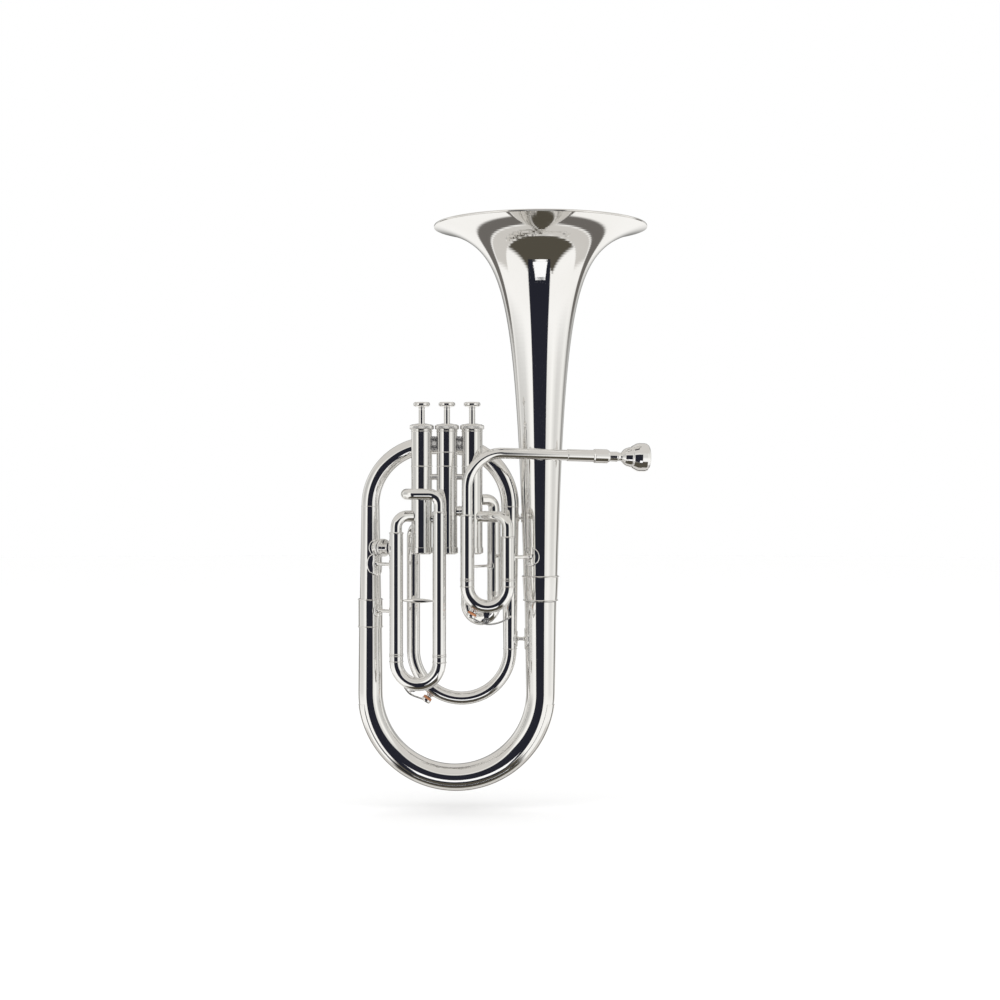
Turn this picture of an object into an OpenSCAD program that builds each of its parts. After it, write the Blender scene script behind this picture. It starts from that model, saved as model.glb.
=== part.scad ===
// Three-valve baritone horn: upright bell, front tuning slide, three piston valves in a row.
// Millimetres. Origin under the middle of the bottom bow, on its guard; +Z up, +X towards the
// mouthpiece, +Y away from the side that carries the slides.

/* [Bell] */
// Outer diameter of the bell mouth
bell_mouth_d = 231; // [225:1:240]
// Height of the bell mouth's plane
bell_h = 611; // [606:1:620]
// Exponent of the bell's flare
bell_flare = 0.55; // [0.53:0.01:0.58]
// Distance from the mouth's plane to the point where the flare would be endless
bell_lead = 14; // [12:1:17]
// Thickness of the bell's sheet
bell_wall = 0.8; // [0.6:0.1:1.2]

/* [Large tubing] */
// Half the distance between the bell's axis and the outer branch
loop_r = 92.2; // [91:0.1:94]
// Radius of the bottom bow's tube where the outer branch enters it
bow_in_r = 12.4; // [12:0.1:13]
// Radius of the bottom bow's tube where it meets the bell
bow_out_r = 17.3; // [16.8:0.1:17.6]
// Thickness of the guard on the bottom bow
guard_t = 0.8; // [0.6:0.1:1]
// Radius of the top bow's tube
top_bow_r = 9.7; // [9.4:0.1:9.8]
// Bend radius of the top bow
top_bow_bend = 65; // [64:0.5:66]
// Distance from the bell's axis to the inner branch
inner_gap = 33.05; // [32.5:0.05:34]
// Radius of the inner bow's tube
inner_bow_r = 7.2; // [7:0.1:7.4]

/* [Valves] */
// Outer diameter of a valve casing
casing_d = 22.2; // [22:0.1:22.6]
// Bore of a valve casing
casing_bore_d = 20; // [19.6:0.1:20.2]
// Distance between neighbouring valves
valve_pitch = 27.05; // [26.8:0.05:27.4]
// Travel of a piston
stroke = 16.5; // [15:0.5:16.5]
// Running clearance of a piston, on the radius
piston_gap = 0.05; // [0.03:0.01:0.09]
// Diameter of a finger button
button_d = 17.8; // [16:0.2:20]
// Diameter of a valve stem
stem_d = 6.6; // [5.6:0.2:7]

/* [Slides] */
// Outer diameter of the outer slide tubes
outer_d = 14.4; // [14.2:0.1:14.6]
// Outer diameter of the inner slide tubes
inner_d = 13.2; // [13:0.1:13.3]
// Running clearance of a slide, on the radius
slide_gap = 0.05; // [0.03:0.01:0.09]
// Outer diameter of the port tubes that join slides and valves
port_d = 12; // [11.6:0.1:12.2]
// Wall of the small tubes
tube_wall = 0.55; // [0.45:0.05:0.7]

/* [Mouthpiece] */
// Outer diameter of the mouthpiece rim
mouthpiece_d = 31; // [28:0.5:36]
// Downward slope of the leadpipe towards the mouthpiece, in degrees
leadpipe_slope = 1.4; // [1:0.1:2]
// Angle by which the leadpipe turns back past the bell, in degrees
leadpipe_turn = 12.5; // [12:0.1:13]

/* [Hidden] */
$fn = 64;

eps = 0.02;
silver = "#d9dadd";
gold_cork = "#c07a4e";
felt_green = "#3d5a44";
steel = "#a9adb2";
pearl = "#e9e6dc";

// Places of the upright tubes, seen from above
bell_at = [loop_r, 0];
branch_at = [-loop_r, 0];
inner_at = [loop_r - inner_gap, 0];
inner_left_at = [-45.6, 0];
slide_y = -48.5;
casing_y = -22;
valve_1_at = [18.4, casing_y];
valve_2_at = [valve_1_at.x - valve_pitch, casing_y];
valve_3_at = [valve_2_at.x - valve_pitch, casing_y];
VALVES = [valve_1_at, valve_2_at, valve_3_at];
tuning_left_at = [13.6, slide_y];
tuning_right_at = [56.3, slide_y];
first_left_at = [13.4, -2];
first_right_at = [41.8, -12];
third_left_at = [-62.4, -31];
third_right_at = [-16.1, -42];
second_x = valve_2_at.x;

// Heights along the large tubing
bell_bottom = 207;
bell_ferrule_top = 234;
branch_ferrule_low = 180.8;
branch_ferrule_high = 209;
bow_mid_r = (bow_in_r + bow_out_r) / 2 - 0.2;
bow_z = loop_r + bow_mid_r + guard_t;
top_bow_z = 310;
inner_bow_z = 153.4;
inner_bow_bend = (inner_at.x - inner_left_at.x) / 2;

// Heights of the valves
casing_low = 260;
casing_high = 393.8;
cap_top = 397.8;
cap_low = 391.6;
guide_low = 349;
guide_high = 351.6;
piston_low = 276.6;
barrel_low = 342;
barrel_high = 388;
button_low = 415.3;
button_high = 421.2;
casing_r = casing_d / 2;
bore_r = casing_bore_d / 2;
piston_r = bore_r - piston_gap;
port_r = port_d / 2;
port_bore_r = port_r - tube_wall;
tunnel_r = 4.3;

// Ports of each valve: [heading in degrees, height]
inlet_1 = [atan2(tuning_right_at.y - casing_y, tuning_right_at.x - valve_1_at.x), 298.2];
loop_1_right = [atan2(first_right_at.y - casing_y, first_right_at.x - valve_1_at.x), 316.3];
loop_1_left = [atan2(first_left_at.y - casing_y, first_left_at.x - valve_1_at.x), 285];
cross_12_z = 304;
cross_23_z = 296;
loop_2_high = 318;
loop_2_low = 288;
loop_3_low = [atan2(third_left_at.y - casing_y, third_left_at.x - valve_3_at.x), 298.8];
loop_3_high = [180, 322];
exit_3 = [atan2(inner_left_at.y - casing_y, inner_left_at.x - valve_3_at.x), 285];
PORTS = [
    [inlet_1, [180, cross_12_z], loop_1_right, loop_1_left],
    [[0, cross_12_z], [180, cross_23_z], [90, loop_2_high], [90, loop_2_low]],
    [[0, cross_23_z], exit_3, loop_3_high, loop_3_low]
];

// Slides: where crook and outer tubes part, and where each bow's curve begins
outer_r = outer_d / 2;
inner_r = inner_d / 2;
outer_bore_r = inner_r + slide_gap;
inner_bore_r = inner_r - tube_wall;
seam = 0.3;
tuning_seam = 231.5;
tuning_bow_z = 224.3;
first_seam = 216;
first_bow_z = 202.8;
third_seam = 150.5;
third_bow_z = 143.4;
second_seam_y = 9;
second_bow_y = 13;
bead_r = 0.65;

// Leadpipe, receiver and mouthpiece share one sloping line
leadpipe_r = 5.8;
leadpipe_bend = 37.2;
leadpipe_z = 366.6;
pipe_dir = [cos(leadpipe_slope) * cos(leadpipe_turn), cos(leadpipe_slope) * sin(leadpipe_turn),
    -sin(leadpipe_slope)];
receiver_run = 156;
receiver_len = 47;
receiver_r = 6.5;
sleeve_r = 7.6;
shank_len = 21;

// Water keys, measured outward from the surface of the bow that carries them
key_pivot_h = 7.5;
key_cork_h = 3.1;
key_w = 4.6;
tuning_bow_c = [(tuning_left_at.x + tuning_right_at.x) / 2, slide_y, tuning_bow_z];
tuning_bend = (tuning_right_at.x - tuning_left_at.x) / 2;
inner_bow_c = [(inner_at.x + inner_left_at.x) / 2, 0, inner_bow_z];
KEY_1 = [tuning_bend + outer_r, -29.4, -1.7, 40, 12.4];
KEY_2 = [inner_bow_bend + inner_bow_r, -35.4, -51, -70, 15.5];

// ---------------------------------------------------------------- helpers

function unit(v) = v / norm(v);
function across(d) = unit(cross(d, abs(d.z) < 0.9 ? [0, 0, 1] : [0, 1, 0]));
function up(p, z) = [p.x, p.y, z];
function turn(pts, i) = acos(unit(pts[i] - pts[i - 1]) * unit(pts[i + 1] - pts[i]));
function corner_cut(pts, bends, i) =
    i == 0 || i == len(pts) - 1 ? 0 : bends[i - 1] * tan(turn(pts, i) / 2);
function longer(pts, by) = [
    for (i = [0:len(pts) - 1])
        i == 0 ? pts[0] - by * unit(pts[1] - pts[0])
        : i == len(pts) - 1 ? pts[i] + by * unit(pts[i] - pts[i - 1])
        : pts[i]
];

// Children in a frame whose axes are x, y, z and whose origin is p
module frame_at(p, x, y, z) {
    multmatrix([[x.x, y.x, z.x, p.x], [x.y, y.y, z.y, p.y], [x.z, y.z, z.z, p.z], [0, 0, 0, 1]]) children();
}

// Cylinder or cone from a to b
module rod(a, b, r1, r2) {
    d = unit(b - a);
    frame_at(a, across(d), cross(d, across(d)), d) cylinder(h = norm(b - a), r1 = r1, r2 = r2);
}

// Round bar along a line of points, with a bend at each inner point. With a link, the straights are
// a hair thinner and run that far into the bends
module route(pts, bends, r, link = 0) {
    last = len(pts) - 1;
    for (i = [0:last - 1]) {
        d = unit(pts[i + 1] - pts[i]);
        start = pts[i] + d * (corner_cut(pts, bends, i) - (i > 0 ? link : 0));
        stop = pts[i + 1] - d * (corner_cut(pts, bends, i + 1) - (i < last - 1 ? link : 0));
        thin = link > 0 ? 0.01 : 0;
        if ((stop - start) * d > 0.01) rod(start, stop, r - thin, r - thin);
    }
    for (i = [1:1:last - 1]) {
        u = unit(pts[i] - pts[i - 1]);
        v = unit(pts[i + 1] - pts[i]);
        n = unit(v - u * (u * v));
        c = pts[i] - u * corner_cut(pts, bends, i) + n * bends[i - 1];
        frame_at(c, -n, u, cross(-n, u))
            rotate_extrude(angle = turn(pts, i)) translate([bends[i - 1], 0]) circle(r);
    }
}

// Bent tube of constant section
module pipe(pts, bends, ro, ri, link = 0) {
    difference() {
        route(pts, bends, ro, link);
        route(longer(pts, 1), bends, ri, link);
    }
}

// Upright tube
module upright(p, z0, z1, ro, ri) {
    translate(up(p, z0)) difference() {
        cylinder(h = z1 - z0, r = ro);
        translate([0, 0, -1]) cylinder(h = z1 - z0 + 2, r = ri);
    }
}

// Rounded ring round an upright tube of radius r
module bead(p, z, r, thick = bead_r) {
    translate(up(p, z)) rotate_extrude() translate([r, 0]) circle(thick);
}

// Part of an upright tube's skin, seen along a heading, that a brace stands on
module foot(r_tube, r_foot, thick) {
    intersection() {
        rotate([0, 90, 0]) cylinder(h = r_tube + thick + 1, r = r_foot);
        cylinder(h = 2 * r_foot + 2, r = r_tube + thick, center = true);
    }
}

// Turned brace between two upright tubes a and b of radii ra and rb, with a foot on each
module brace(a, ra, b, rb, z, rod_r, foot_a, foot_b) {
    flat = b - a;
    span = norm(flat);
    tall = 2 * max(foot_a, foot_b) + 4;
    translate(up(a, z)) rotate(atan2(flat.y, flat.x)) difference() {
        union() {
            rotate([0, 90, 0]) cylinder(h = span, r = rod_r);
            rotate([0, 90, 0]) translate([0, 0, ra]) cylinder(h = 3, r1 = rod_r * 2.2, r2 = rod_r);
            translate([span, 0, 0]) rotate([0, -90, 0]) translate([0, 0, rb])
                cylinder(h = 3, r1 = rod_r * 2.2, r2 = rod_r);
            foot(ra, foot_a, 0.9);
            translate([span, 0, 0]) rotate(180) foot(rb, foot_b, 0.9);
        }
        cylinder(h = tall, r = ra, center = true);
        translate([span, 0, 0]) cylinder(h = tall, r = rb, center = true);
    }
}

// Two tapering sheets joined at their edges: outer and inner are grids of points, ring by ring
module double_skin(outer, inner, closed) {
    n = len(outer);
    k = len(outer[0]);
    cols = closed ? k : k - 1;
    function o(i, j) = i * k + j % k;
    function q(i, j) = n * k + i * k + j % k;
    function quad(a, b, c, d) = [[a, b, c], [a, c, d]];
    faces = concat(
        [for (i = [0:n - 2], j = [0:cols - 1]) each quad(o(i, j), o(i + 1, j), o(i + 1, j + 1), o(i, j + 1))],
        [for (i = [0:n - 2], j = [0:cols - 1]) each quad(q(i, j), q(i, j + 1), q(i + 1, j + 1), q(i + 1, j))],
        [for (j = [0:cols - 1]) each quad(o(0, j), o(0, j + 1), q(0, j + 1), q(0, j))],
        [for (j = [0:cols - 1]) each quad(o(n - 1, j), q(n - 1, j), q(n - 1, j + 1), o(n - 1, j + 1))],
        closed ? [] : [for (i = [0:n - 2]) each concat(
            quad(o(i, 0), q(i, 0), q(i + 1, 0), o(i + 1, 0)),
            quad(o(i, cols), o(i + 1, cols), q(i + 1, cols), q(i, cols)))]
    );
    polyhedron(points = [for (ring = concat(outer, inner)) each ring], faces = faces);
}

// ---------------------------------------------------------------- large tubing

// Outer radius of the bell at a height
function bell_r(z) = bell_mouth_d / 2 * pow((bell_h + bell_lead - z) / bell_lead, -bell_flare);

// Heights of the bell's outline, closer together where it flares
bell_steps = [for (i = [0:30]) bell_h - (bell_h - bell_bottom) * pow(1 - i / 30, 2.2)];

module bell() {
    outside = [for (z = bell_steps) [bell_r(z), z]];
    inside = [for (i = [len(bell_steps) - 1:-1:0]) [bell_r(bell_steps[i]) - bell_wall, bell_steps[i] + eps]];
    color(silver) translate(up(bell_at, 0)) rotate_extrude($fn = 96) polygon(concat(outside, inside));
}

module bell_rim() {
    color(silver) translate(up(bell_at, bell_h + 1.3)) rotate_extrude($fn = 96)
        translate([bell_mouth_d / 2 - 1.3, 0]) circle(1.28);
}

module bell_ferrule() {
    low_r = bell_r(bell_bottom) + 0.4;
    high_r = bell_r(bell_ferrule_top) + 1.0;
    color(silver) translate(up(bell_at, 0)) difference() {
        union() {
            translate([0, 0, bell_bottom - 1])
                cylinder(h = bell_ferrule_top - bell_bottom + 1, r1 = low_r, r2 = high_r);
            bead([0, 0], bell_bottom, low_r, 0.9);
            bead([0, 0], bell_ferrule_top - 0.5, high_r, 0.9);
        }
        translate([0, 0, bell_bottom - 2])
            cylinder(h = bell_ferrule_top - bell_bottom + 4, r1 = low_r - 0.35, r2 = high_r - 0.55);
    }
}

// Stations along the bottom bow, from the outer branch round to the bell: [centre, outward, share]
arc_steps = 34;
bow_stations = concat(
    [[[-loop_r, 0, branch_ferrule_low], [-1, 0, 0], 0]],
    [for (i = [0:arc_steps]) let (a = 180 + 180 * i / arc_steps)
        [[loop_r * cos(a), 0, bow_z + loop_r * sin(a)], [cos(a), 0, sin(a)], 0.18 + 0.5 * i / arc_steps]],
    [[[loop_r, 0, bell_bottom - 1.2], [1, 0, 0], 1]]
);
function bow_r(share) = bow_in_r + (bow_out_r - bow_in_r) * share;
function bow_ring(station, r, angles) =
    [for (a = angles) station[0] + r * (cos(a) * station[1] + [0, sin(a), 0])];

module bottom_bow() {
    angles = [for (i = [0:27]) 360 * i / 28];
    color(silver) double_skin(
        [for (s = bow_stations) bow_ring(s, bow_r(s[2]), angles)],
        [for (s = bow_stations) bow_ring(s, bow_r(s[2]) - bell_wall, angles)], true);
}

module bow_guard() {
    angles = [for (i = [-6:6]) 10 * i];
    stations = [for (i = [2:arc_steps]) bow_stations[i]];
    color(silver) double_skin(
        [for (s = stations) bow_ring(s, bow_r(s[2]) + guard_t, angles)],
        [for (s = stations) bow_ring(s, bow_r(s[2]) + 0.05, angles)], false);
}

module branch_ferrule() {
    color(silver) {
        upright(branch_at, branch_ferrule_low - 3, branch_ferrule_high, bow_in_r + 0.7, bow_in_r + 0.05);
        bead(branch_at, branch_ferrule_low - 2.5, bow_in_r + 0.8);
        bead(branch_at, branch_ferrule_high - 0.5, bow_in_r + 0.8);
    }
}

module tapered(p, z0, z1, r0, r1, wall) {
    difference() {
        translate(up(p, z0)) cylinder(h = z1 - z0, r1 = r0, r2 = r1);
        translate(up(p, z0 - eps)) cylinder(h = z1 - z0 + 2 * eps, r1 = r0 - wall, r2 = r1 - wall);
    }
}

module outer_branch() {
    color(silver) tapered(branch_at, branch_ferrule_low + eps, top_bow_z, bow_in_r - 0.3, top_bow_r + 0.1, 0.7);
}

module top_bow() {
    crown = top_bow_z + top_bow_bend;
    pts = [up(branch_at, top_bow_z + eps), up(branch_at, crown), up(inner_at, crown), up(inner_at, top_bow_z + eps)];
    color(silver) pipe(pts, [top_bow_bend, top_bow_bend], top_bow_r, top_bow_r - 0.7);
}

module inner_branch() {
    color(silver) {
        tapered(inner_at, inner_bow_z + eps, top_bow_z, inner_bow_r + 0.1, top_bow_r - 0.2, 0.6);
        bead(inner_at, top_bow_z - 0.7, top_bow_r - 0.1);
        bead(inner_at, inner_bow_z + 0.8, inner_bow_r + 0.1);
    }
}

// Inner bow, its left leg and the bend that takes it into the third valve
inner_bow_pts = [
    up(inner_at, inner_bow_z), up(inner_at, inner_bow_z - inner_bow_bend),
    up(inner_left_at, inner_bow_z - inner_bow_bend), up(inner_left_at, exit_3[1]),
    up(valve_3_at, exit_3[1])
];
inner_bow_bends = [inner_bow_bend, inner_bow_bend, 11];

module inner_bow() {
    color(silver) difference() {
        pipe(inner_bow_pts, inner_bow_bends, inner_bow_r, inner_bow_r - tube_wall, 0.3);
        translate(up(valve_3_at, casing_low)) cylinder(h = 90, r = casing_r);
    }
}

// ---------------------------------------------------------------- valves

// Round bar from a valve's axis outwards, at one port
module port_bar(at, port, r, reach) {
    rod(up(at, port[1]), up(at, port[1]) + reach * [cos(port[0]), sin(port[0]), 0], r, r);
}

module valve_casing(i) {
    at = VALVES[i];
    rings = i == 1 ? [389.6, 367, 352] : [389.6, 352];
    color(silver) difference() {
        union() {
            translate(up(at, casing_low)) cylinder(h = casing_high - casing_low, r = casing_r);
            for (z = rings) bead(at, z, casing_r, 0.6);
        }
        translate(up(at, casing_low - 1)) cylinder(h = casing_high - casing_low + 2, r = bore_r);
        for (port = PORTS[i]) port_bar(at, port, port_bore_r - 0.3, casing_r + 2);
    }
}

module top_caps() {
    color(silver) for (at = VALVES) translate(up(at, 0)) rotate_extrude() polygon([
        [stem_d / 2 + 0.1, casing_high + eps], [casing_r + eps, casing_high + eps], [casing_r + eps, cap_low],
        [12.6, cap_low], [12.95, cap_low + 0.8], [12.95, cap_top - 2.2], [12.3, cap_top - 1.2],
        [9.4, cap_top - 0.9], [6.8, cap_top], [stem_d / 2 + 0.1, cap_top]
    ]);
}

module cap_felts() {
    color(felt_green) for (at = VALVES) upright(at, barrel_high + 0.6, casing_high, bore_r - 0.4, stem_d / 2 + 0.5);
}

module bottom_caps() {
    color(silver) for (at = VALVES) translate(up(at, 0)) rotate_extrude() polygon([
        [0, casing_low - 2.4], [7, casing_low - 2.4], [10.6, casing_low - 2], [11.9, casing_low - 0.6],
        [11.9, casing_low + 5.2], [casing_r + eps, casing_low + 5.2], [casing_r + eps, casing_low - eps],
        [bore_r - 0.2, casing_low - eps], [bore_r - 0.2, casing_low - 0.8], [0, casing_low - 0.8]
    ]);
}

// Key plate that stops a piston turning: it lies in the barrel and reaches out to the casing
module piston_guides() {
    color(steel) for (at = VALVES) translate(up(at, guide_low)) difference() {
        union() {
            cylinder(h = guide_high - guide_low, r = 7.9);
            translate([-bore_r + 0.15, -1.5, 0]) cube([2 * bore_r - 0.3, 3, guide_high - guide_low]);
        }
        translate([0, 0, -1]) cylinder(h = 5, r = 4);
    }
}

// Curved passage through a piston, from one port to another, opened when it is pressed down by "down"
module tunnel(at, from, to, down) {
    lift = [0, 0, down];
    a = up(at, from[1]) + (bore_r + 1) * [cos(from[0]), sin(from[0]), 0] + lift;
    b = up(at, to[1]) + (bore_r + 1) * [cos(to[0]), sin(to[0]), 0] + lift;
    rod(a, b, tunnel_r, tunnel_r);
}

module piston(i) {
    at = VALVES[i];
    ports = PORTS[i];
    slot_high = guide_high + stroke + 1;
    color(steel) difference() {
        translate(up(at, piston_low)) cylinder(h = barrel_high - piston_low, r = piston_r);
        translate(up(at, barrel_low)) cylinder(h = barrel_high - 3 - barrel_low, r = 8.5);
        translate(up(at, guide_low - 0.6) - [15, 1.7, 0]) cube([30, 3.4, slot_high - guide_low + 0.6]);
        translate(up(at, barrel_high - 4)) cylinder(h = 5, r = stem_d / 2 - 0.6);
        translate(up(at, piston_low - 1)) cylinder(h = 3, r = 7.5);
        tunnel(at, ports[0], ports[1], 0);
        tunnel(at, ports[0], ports[2], stroke);
        tunnel(at, ports[3], ports[1], stroke);
    }
}

module stem(i) {
    at = VALVES[i];
    color(silver) {
        translate(up(at, barrel_high + eps)) cylinder(h = button_low - barrel_high - eps, r = stem_d / 2);
        translate(up(at, barrel_high - 3)) cylinder(h = 4, r = stem_d / 2 - 0.6 - eps);
        translate(up(at, button_low - 1)) cylinder(h = 3.5, r = stem_d / 2 - 0.9);
    }
}

module button(i) {
    r = button_d / 2;
    color(silver) translate(up(VALVES[i], button_low)) rotate_extrude() polygon([
        [stem_d / 2 - 0.9 + eps, eps], [stem_d / 2 + 0.9, eps], [r * 0.6, 0.5], [r * 0.9, 1.1], [r, 2.1],
        [r, 4], [r * 0.95, 5], [r * 0.82, 5.6], [r * 0.72, 5.4], [r * 0.4, 5.7], [0, 5.9],
        [0, 2.6], [stem_d / 2 - 0.9 + eps, 2.6]
    ]);
}

// Return spring between the fixed guide and the roof of the barrel
module valve_spring(i) {
    turns = 7;
    per_turn = 14;
    n = turns * per_turn;
    low = guide_high + 0.6;
    rise = barrel_high - 3.6 - low;
    wire = 0.5;
    function centre(t) = [6.6 * cos(360 * turns * t), 6.6 * sin(360 * turns * t), low + rise * t];
    rings = [for (s = [0:n]) let (c = centre(s / n), o = unit([c.x, c.y, 0]))
        [for (a = [0:60:300]) up(VALVES[i], 0) + c + wire * (cos(a) * o + [0, 0, sin(a)])]];
    side = [for (s = [0:n - 1], j = [0:5]) let (a = s * 6 + j, b = s * 6 + (j + 1) % 6)
        each [[a, b, b + 6], [a, b + 6, a + 6]]];
    ends = [[for (j = [5:-1:0]) j], [for (j = [0:5]) n * 6 + j]];
    color(steel) polyhedron(points = [for (ring = rings) each ring], faces = concat(side, ends));
}

plate_low = 369.2;
plate_high = 384.2;
plate_ridge = 3.4;
screw_seat = 2.4;

module between_valves(i) {
    translate(up((VALVES[i] + VALVES[i + 1]) / 2, 0)) children();
}

// Plates between the casings, each held by two screws, with a stud below
module casing_plates() {
    gap = valve_pitch - casing_d;
    w = gap / 2 + 2;
    color(silver) for (i = [0:1]) difference() {
        between_valves(i) {
            translate([0, 0, plate_low]) linear_extrude(plate_high - plate_low) polygon([
                [-w, -1.6], [0, -plate_ridge], [w, -1.6], [w, 1.6], [0, plate_ridge], [-w, 1.6]
            ]);
            translate([0, 0, 340.7]) rotate([0, 90, 0]) cylinder(h = gap + 4, r = 3.2, center = true);
        }
        for (at = VALVES) translate(up(at, 330)) cylinder(h = 60, r = casing_r + eps);
        between_valves(i) for (z = [plate_low + 3.5, plate_high - 3.5])
            {
                translate([0, -8, z]) rotate([-90, 0, 0]) cylinder(h = 16, r = 0.85);
                translate([0, -8, z]) rotate([-90, 0, 0]) cylinder(h = 8 - screw_seat, r = 1.9);
            }
    }
}

module plate_screws() {
    color(steel) for (i = [0:1]) between_valves(i) for (z = [plate_low + 3.5, plate_high - 3.5])
        difference() {
            union() {
                translate([0, -screw_seat - eps, z]) rotate([90, 0, 0]) cylinder(h = 1.1, r = 1.7);
                translate([0, -screw_seat, z]) rotate([-90, 0, 0]) cylinder(h = 5, r = 0.8);
            }
            translate([-2, -screw_seat - 1.6, z - 0.2]) cube([4, 0.9, 0.4]);
        }
}

module valve_knuckles() {
    color(silver) for (i = [0:1]) {
        z = i == 0 ? cross_12_z : cross_23_z;
        difference() {
            rod(up(VALVES[i + 1], z), up(VALVES[i], z), port_r - 0.6, port_r - 0.6);
            rod(up(VALVES[i + 1], z), up(VALVES[i], z), port_bore_r - 0.6, port_bore_r - 0.6);
            for (at = VALVES) translate(up(at, z - 10)) cylinder(h = 20, r = casing_r);
        }
    }
}

// ---------------------------------------------------------------- leadpipe and mouthpiece

leadpipe_corner = up(tuning_left_at, leadpipe_z);
leadpipe_end = leadpipe_corner + receiver_run * pipe_dir - shank_len * pipe_dir;

module leadpipe() {
    color(silver) pipe([leadpipe_end, leadpipe_corner, up(tuning_left_at, 300.7 + eps)],
        [leadpipe_bend], leadpipe_r, leadpipe_r - tube_wall, 0.3);
}

// Children along the pipe's line, with Z along it from the receiver's mouth
module at_receiver() {
    side = across(pipe_dir);
    frame_at(leadpipe_corner + receiver_run * pipe_dir, side, cross(pipe_dir, side), pipe_dir) children();
}

module mouthpiece_receiver() {
    color(silver) at_receiver() rotate_extrude() polygon([
        [4.72, -shank_len + eps], [leadpipe_r + eps, -shank_len + eps], [leadpipe_r + eps, -receiver_len],
        [receiver_r - 0.3, -receiver_len], [receiver_r, -receiver_len + 0.5], [receiver_r, -18],
        [sleeve_r, -16.6], [sleeve_r, -2.6], [6.3, -0.4], [5.8, 0], [5.26, 0]
    ]);
}

module mouthpiece() {
    r = mouthpiece_d / 2;
    color(silver) at_receiver() rotate_extrude() polygon([
        [4.1, 0.1 - shank_len], [4.65, 0.1 - shank_len], [5.2, 0.05], [5.5, 7.6], [5.5, 8.6], [4.9, 9.4],
        [4.5, 12], [4.8, 13.6], [6.3, 14.8], [8.3, 16.6], [9.7, 19], [10.6, 22], [10.9, 23.6], [10.7, 24.4],
        [12.2, 25.6], [r - 2, 28], [r - 0.6, 30.6], [r, 33.4], [r, 39.4], [r - 0.5, 41.4], [r - 1.7, 43],
        [r - 3, 43.5], [r - 4, 42.8], [r - 4.6, 41], [r - 5.2, 36], [r - 7, 30], [6, 25], [3.6, 20.5],
        [2.9, 17], [2.9, 12], [3.2, 4]
    ]);
}

// Saddle between the leadpipe and the front of the bell
module leadpipe_brace() {
    x = bell_at.x;
    run = x - tuning_left_at.x;
    y = slide_y + run * tan(leadpipe_turn);
    z = leadpipe_z - run * tan(leadpipe_slope) / cos(leadpipe_turn);
    color(silver) difference() {
        union() {
            rod([x, y, z], [x, -18, z], 4.2, 4.2);
            translate([bell_at.x, 0, z]) rotate(-90) foot(bell_r(z) + 0.4, 6.6, 0.9);
        }
        route([leadpipe_end, leadpipe_corner], [], leadpipe_r + eps);
        translate(up(bell_at, z - 10)) cylinder(h = 20, r1 = bell_r(z - 10) + 0.1, r2 = bell_r(z + 10) + 0.1);
    }
}

// ---------------------------------------------------------------- slides

// Upright outer slide tube, open below, closed round its port tube above
module outer_tube(p, z0, z1) {
    upright(p, z0, z1, outer_r, outer_bore_r);
    upright(p, z1 - 1.2, z1, outer_r + 0.3, port_r + 0.03);
    bead(p, z1 - 0.6, outer_r + 0.15, 0.6);
    bead(p, z0 + 0.7, outer_r + 0.1, 0.6);
}

module tuning_outer_tubes() {
    color(silver) {
        outer_tube(tuning_left_at, tuning_seam, 300.7);
        outer_tube(tuning_right_at, tuning_seam, 277.6);
    }
}

// Tube from the top of an upright slide tube to a valve port
module port_tube(p, z0, at, port, bend) {
    flat = at - p;
    reach = norm(flat);
    translate(up(p, 0)) rotate(atan2(flat.y, flat.x)) difference() {
        pipe([[0, 0, z0], [0, 0, port[1]], [reach, 0, port[1]]], [bend], port_r, port_bore_r);
        translate([reach, 0, port[1] - 12]) cylinder(h = 24, r = casing_r);
    }
}

module tuning_port_tube() {
    color(silver) port_tube(tuning_right_at, 276.5, valve_1_at, inlet_1, 12);
}

module first_outer_tubes() {
    color(silver) {
        outer_tube(first_left_at, first_seam, 272);
        outer_tube(first_right_at, first_seam, 302);
    }
}

module first_port_tubes() {
    color(silver) {
        port_tube(first_left_at, 270.9, valve_1_at, loop_1_left, 7.5);
        port_tube(first_right_at, 300.9, valve_1_at, loop_1_right, 9);
    }
}

module third_outer_tubes() {
    color(silver) {
        outer_tube(third_left_at, third_seam, 281.7);
        outer_tube(third_right_at, third_seam, 303.8);
    }
}

module third_port_tubes() {
    turn_x = -51.5;
    z = loop_3_high[1];
    color(silver) {
        port_tube(third_left_at, 280.6, valve_3_at, loop_3_low, 12);
        difference() {
            pipe([up(third_right_at, 302.7), up(third_right_at, z), [turn_x, third_right_at.y, z],
                [turn_x, casing_y, z], up(valve_3_at, z)], [11, 9.5, 9.5], port_r, port_bore_r);
            translate(up(valve_3_at, z - 12)) cylinder(h = 24, r = casing_r);
        }
    }
}

// Second slide: two short tubes straight back from the middle valve
module second_outer_tubes() {
    color(silver) for (z = [loop_2_high, loop_2_low]) difference() {
        union() {
            rod([second_x, casing_y, z], [second_x, -5, z], port_r, port_r);
            rod([second_x, -6.2, z], [second_x, second_seam_y, z], outer_r, outer_r);
        }
        rod([second_x, casing_y, z], [second_x, -4, z], port_bore_r, port_bore_r);
        rod([second_x, -5, z], [second_x, second_seam_y + 1, z], outer_bore_r, outer_bore_r);
        translate(up(valve_2_at, z - 12)) cylinder(h = 24, r = casing_r);
    }
}

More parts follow.
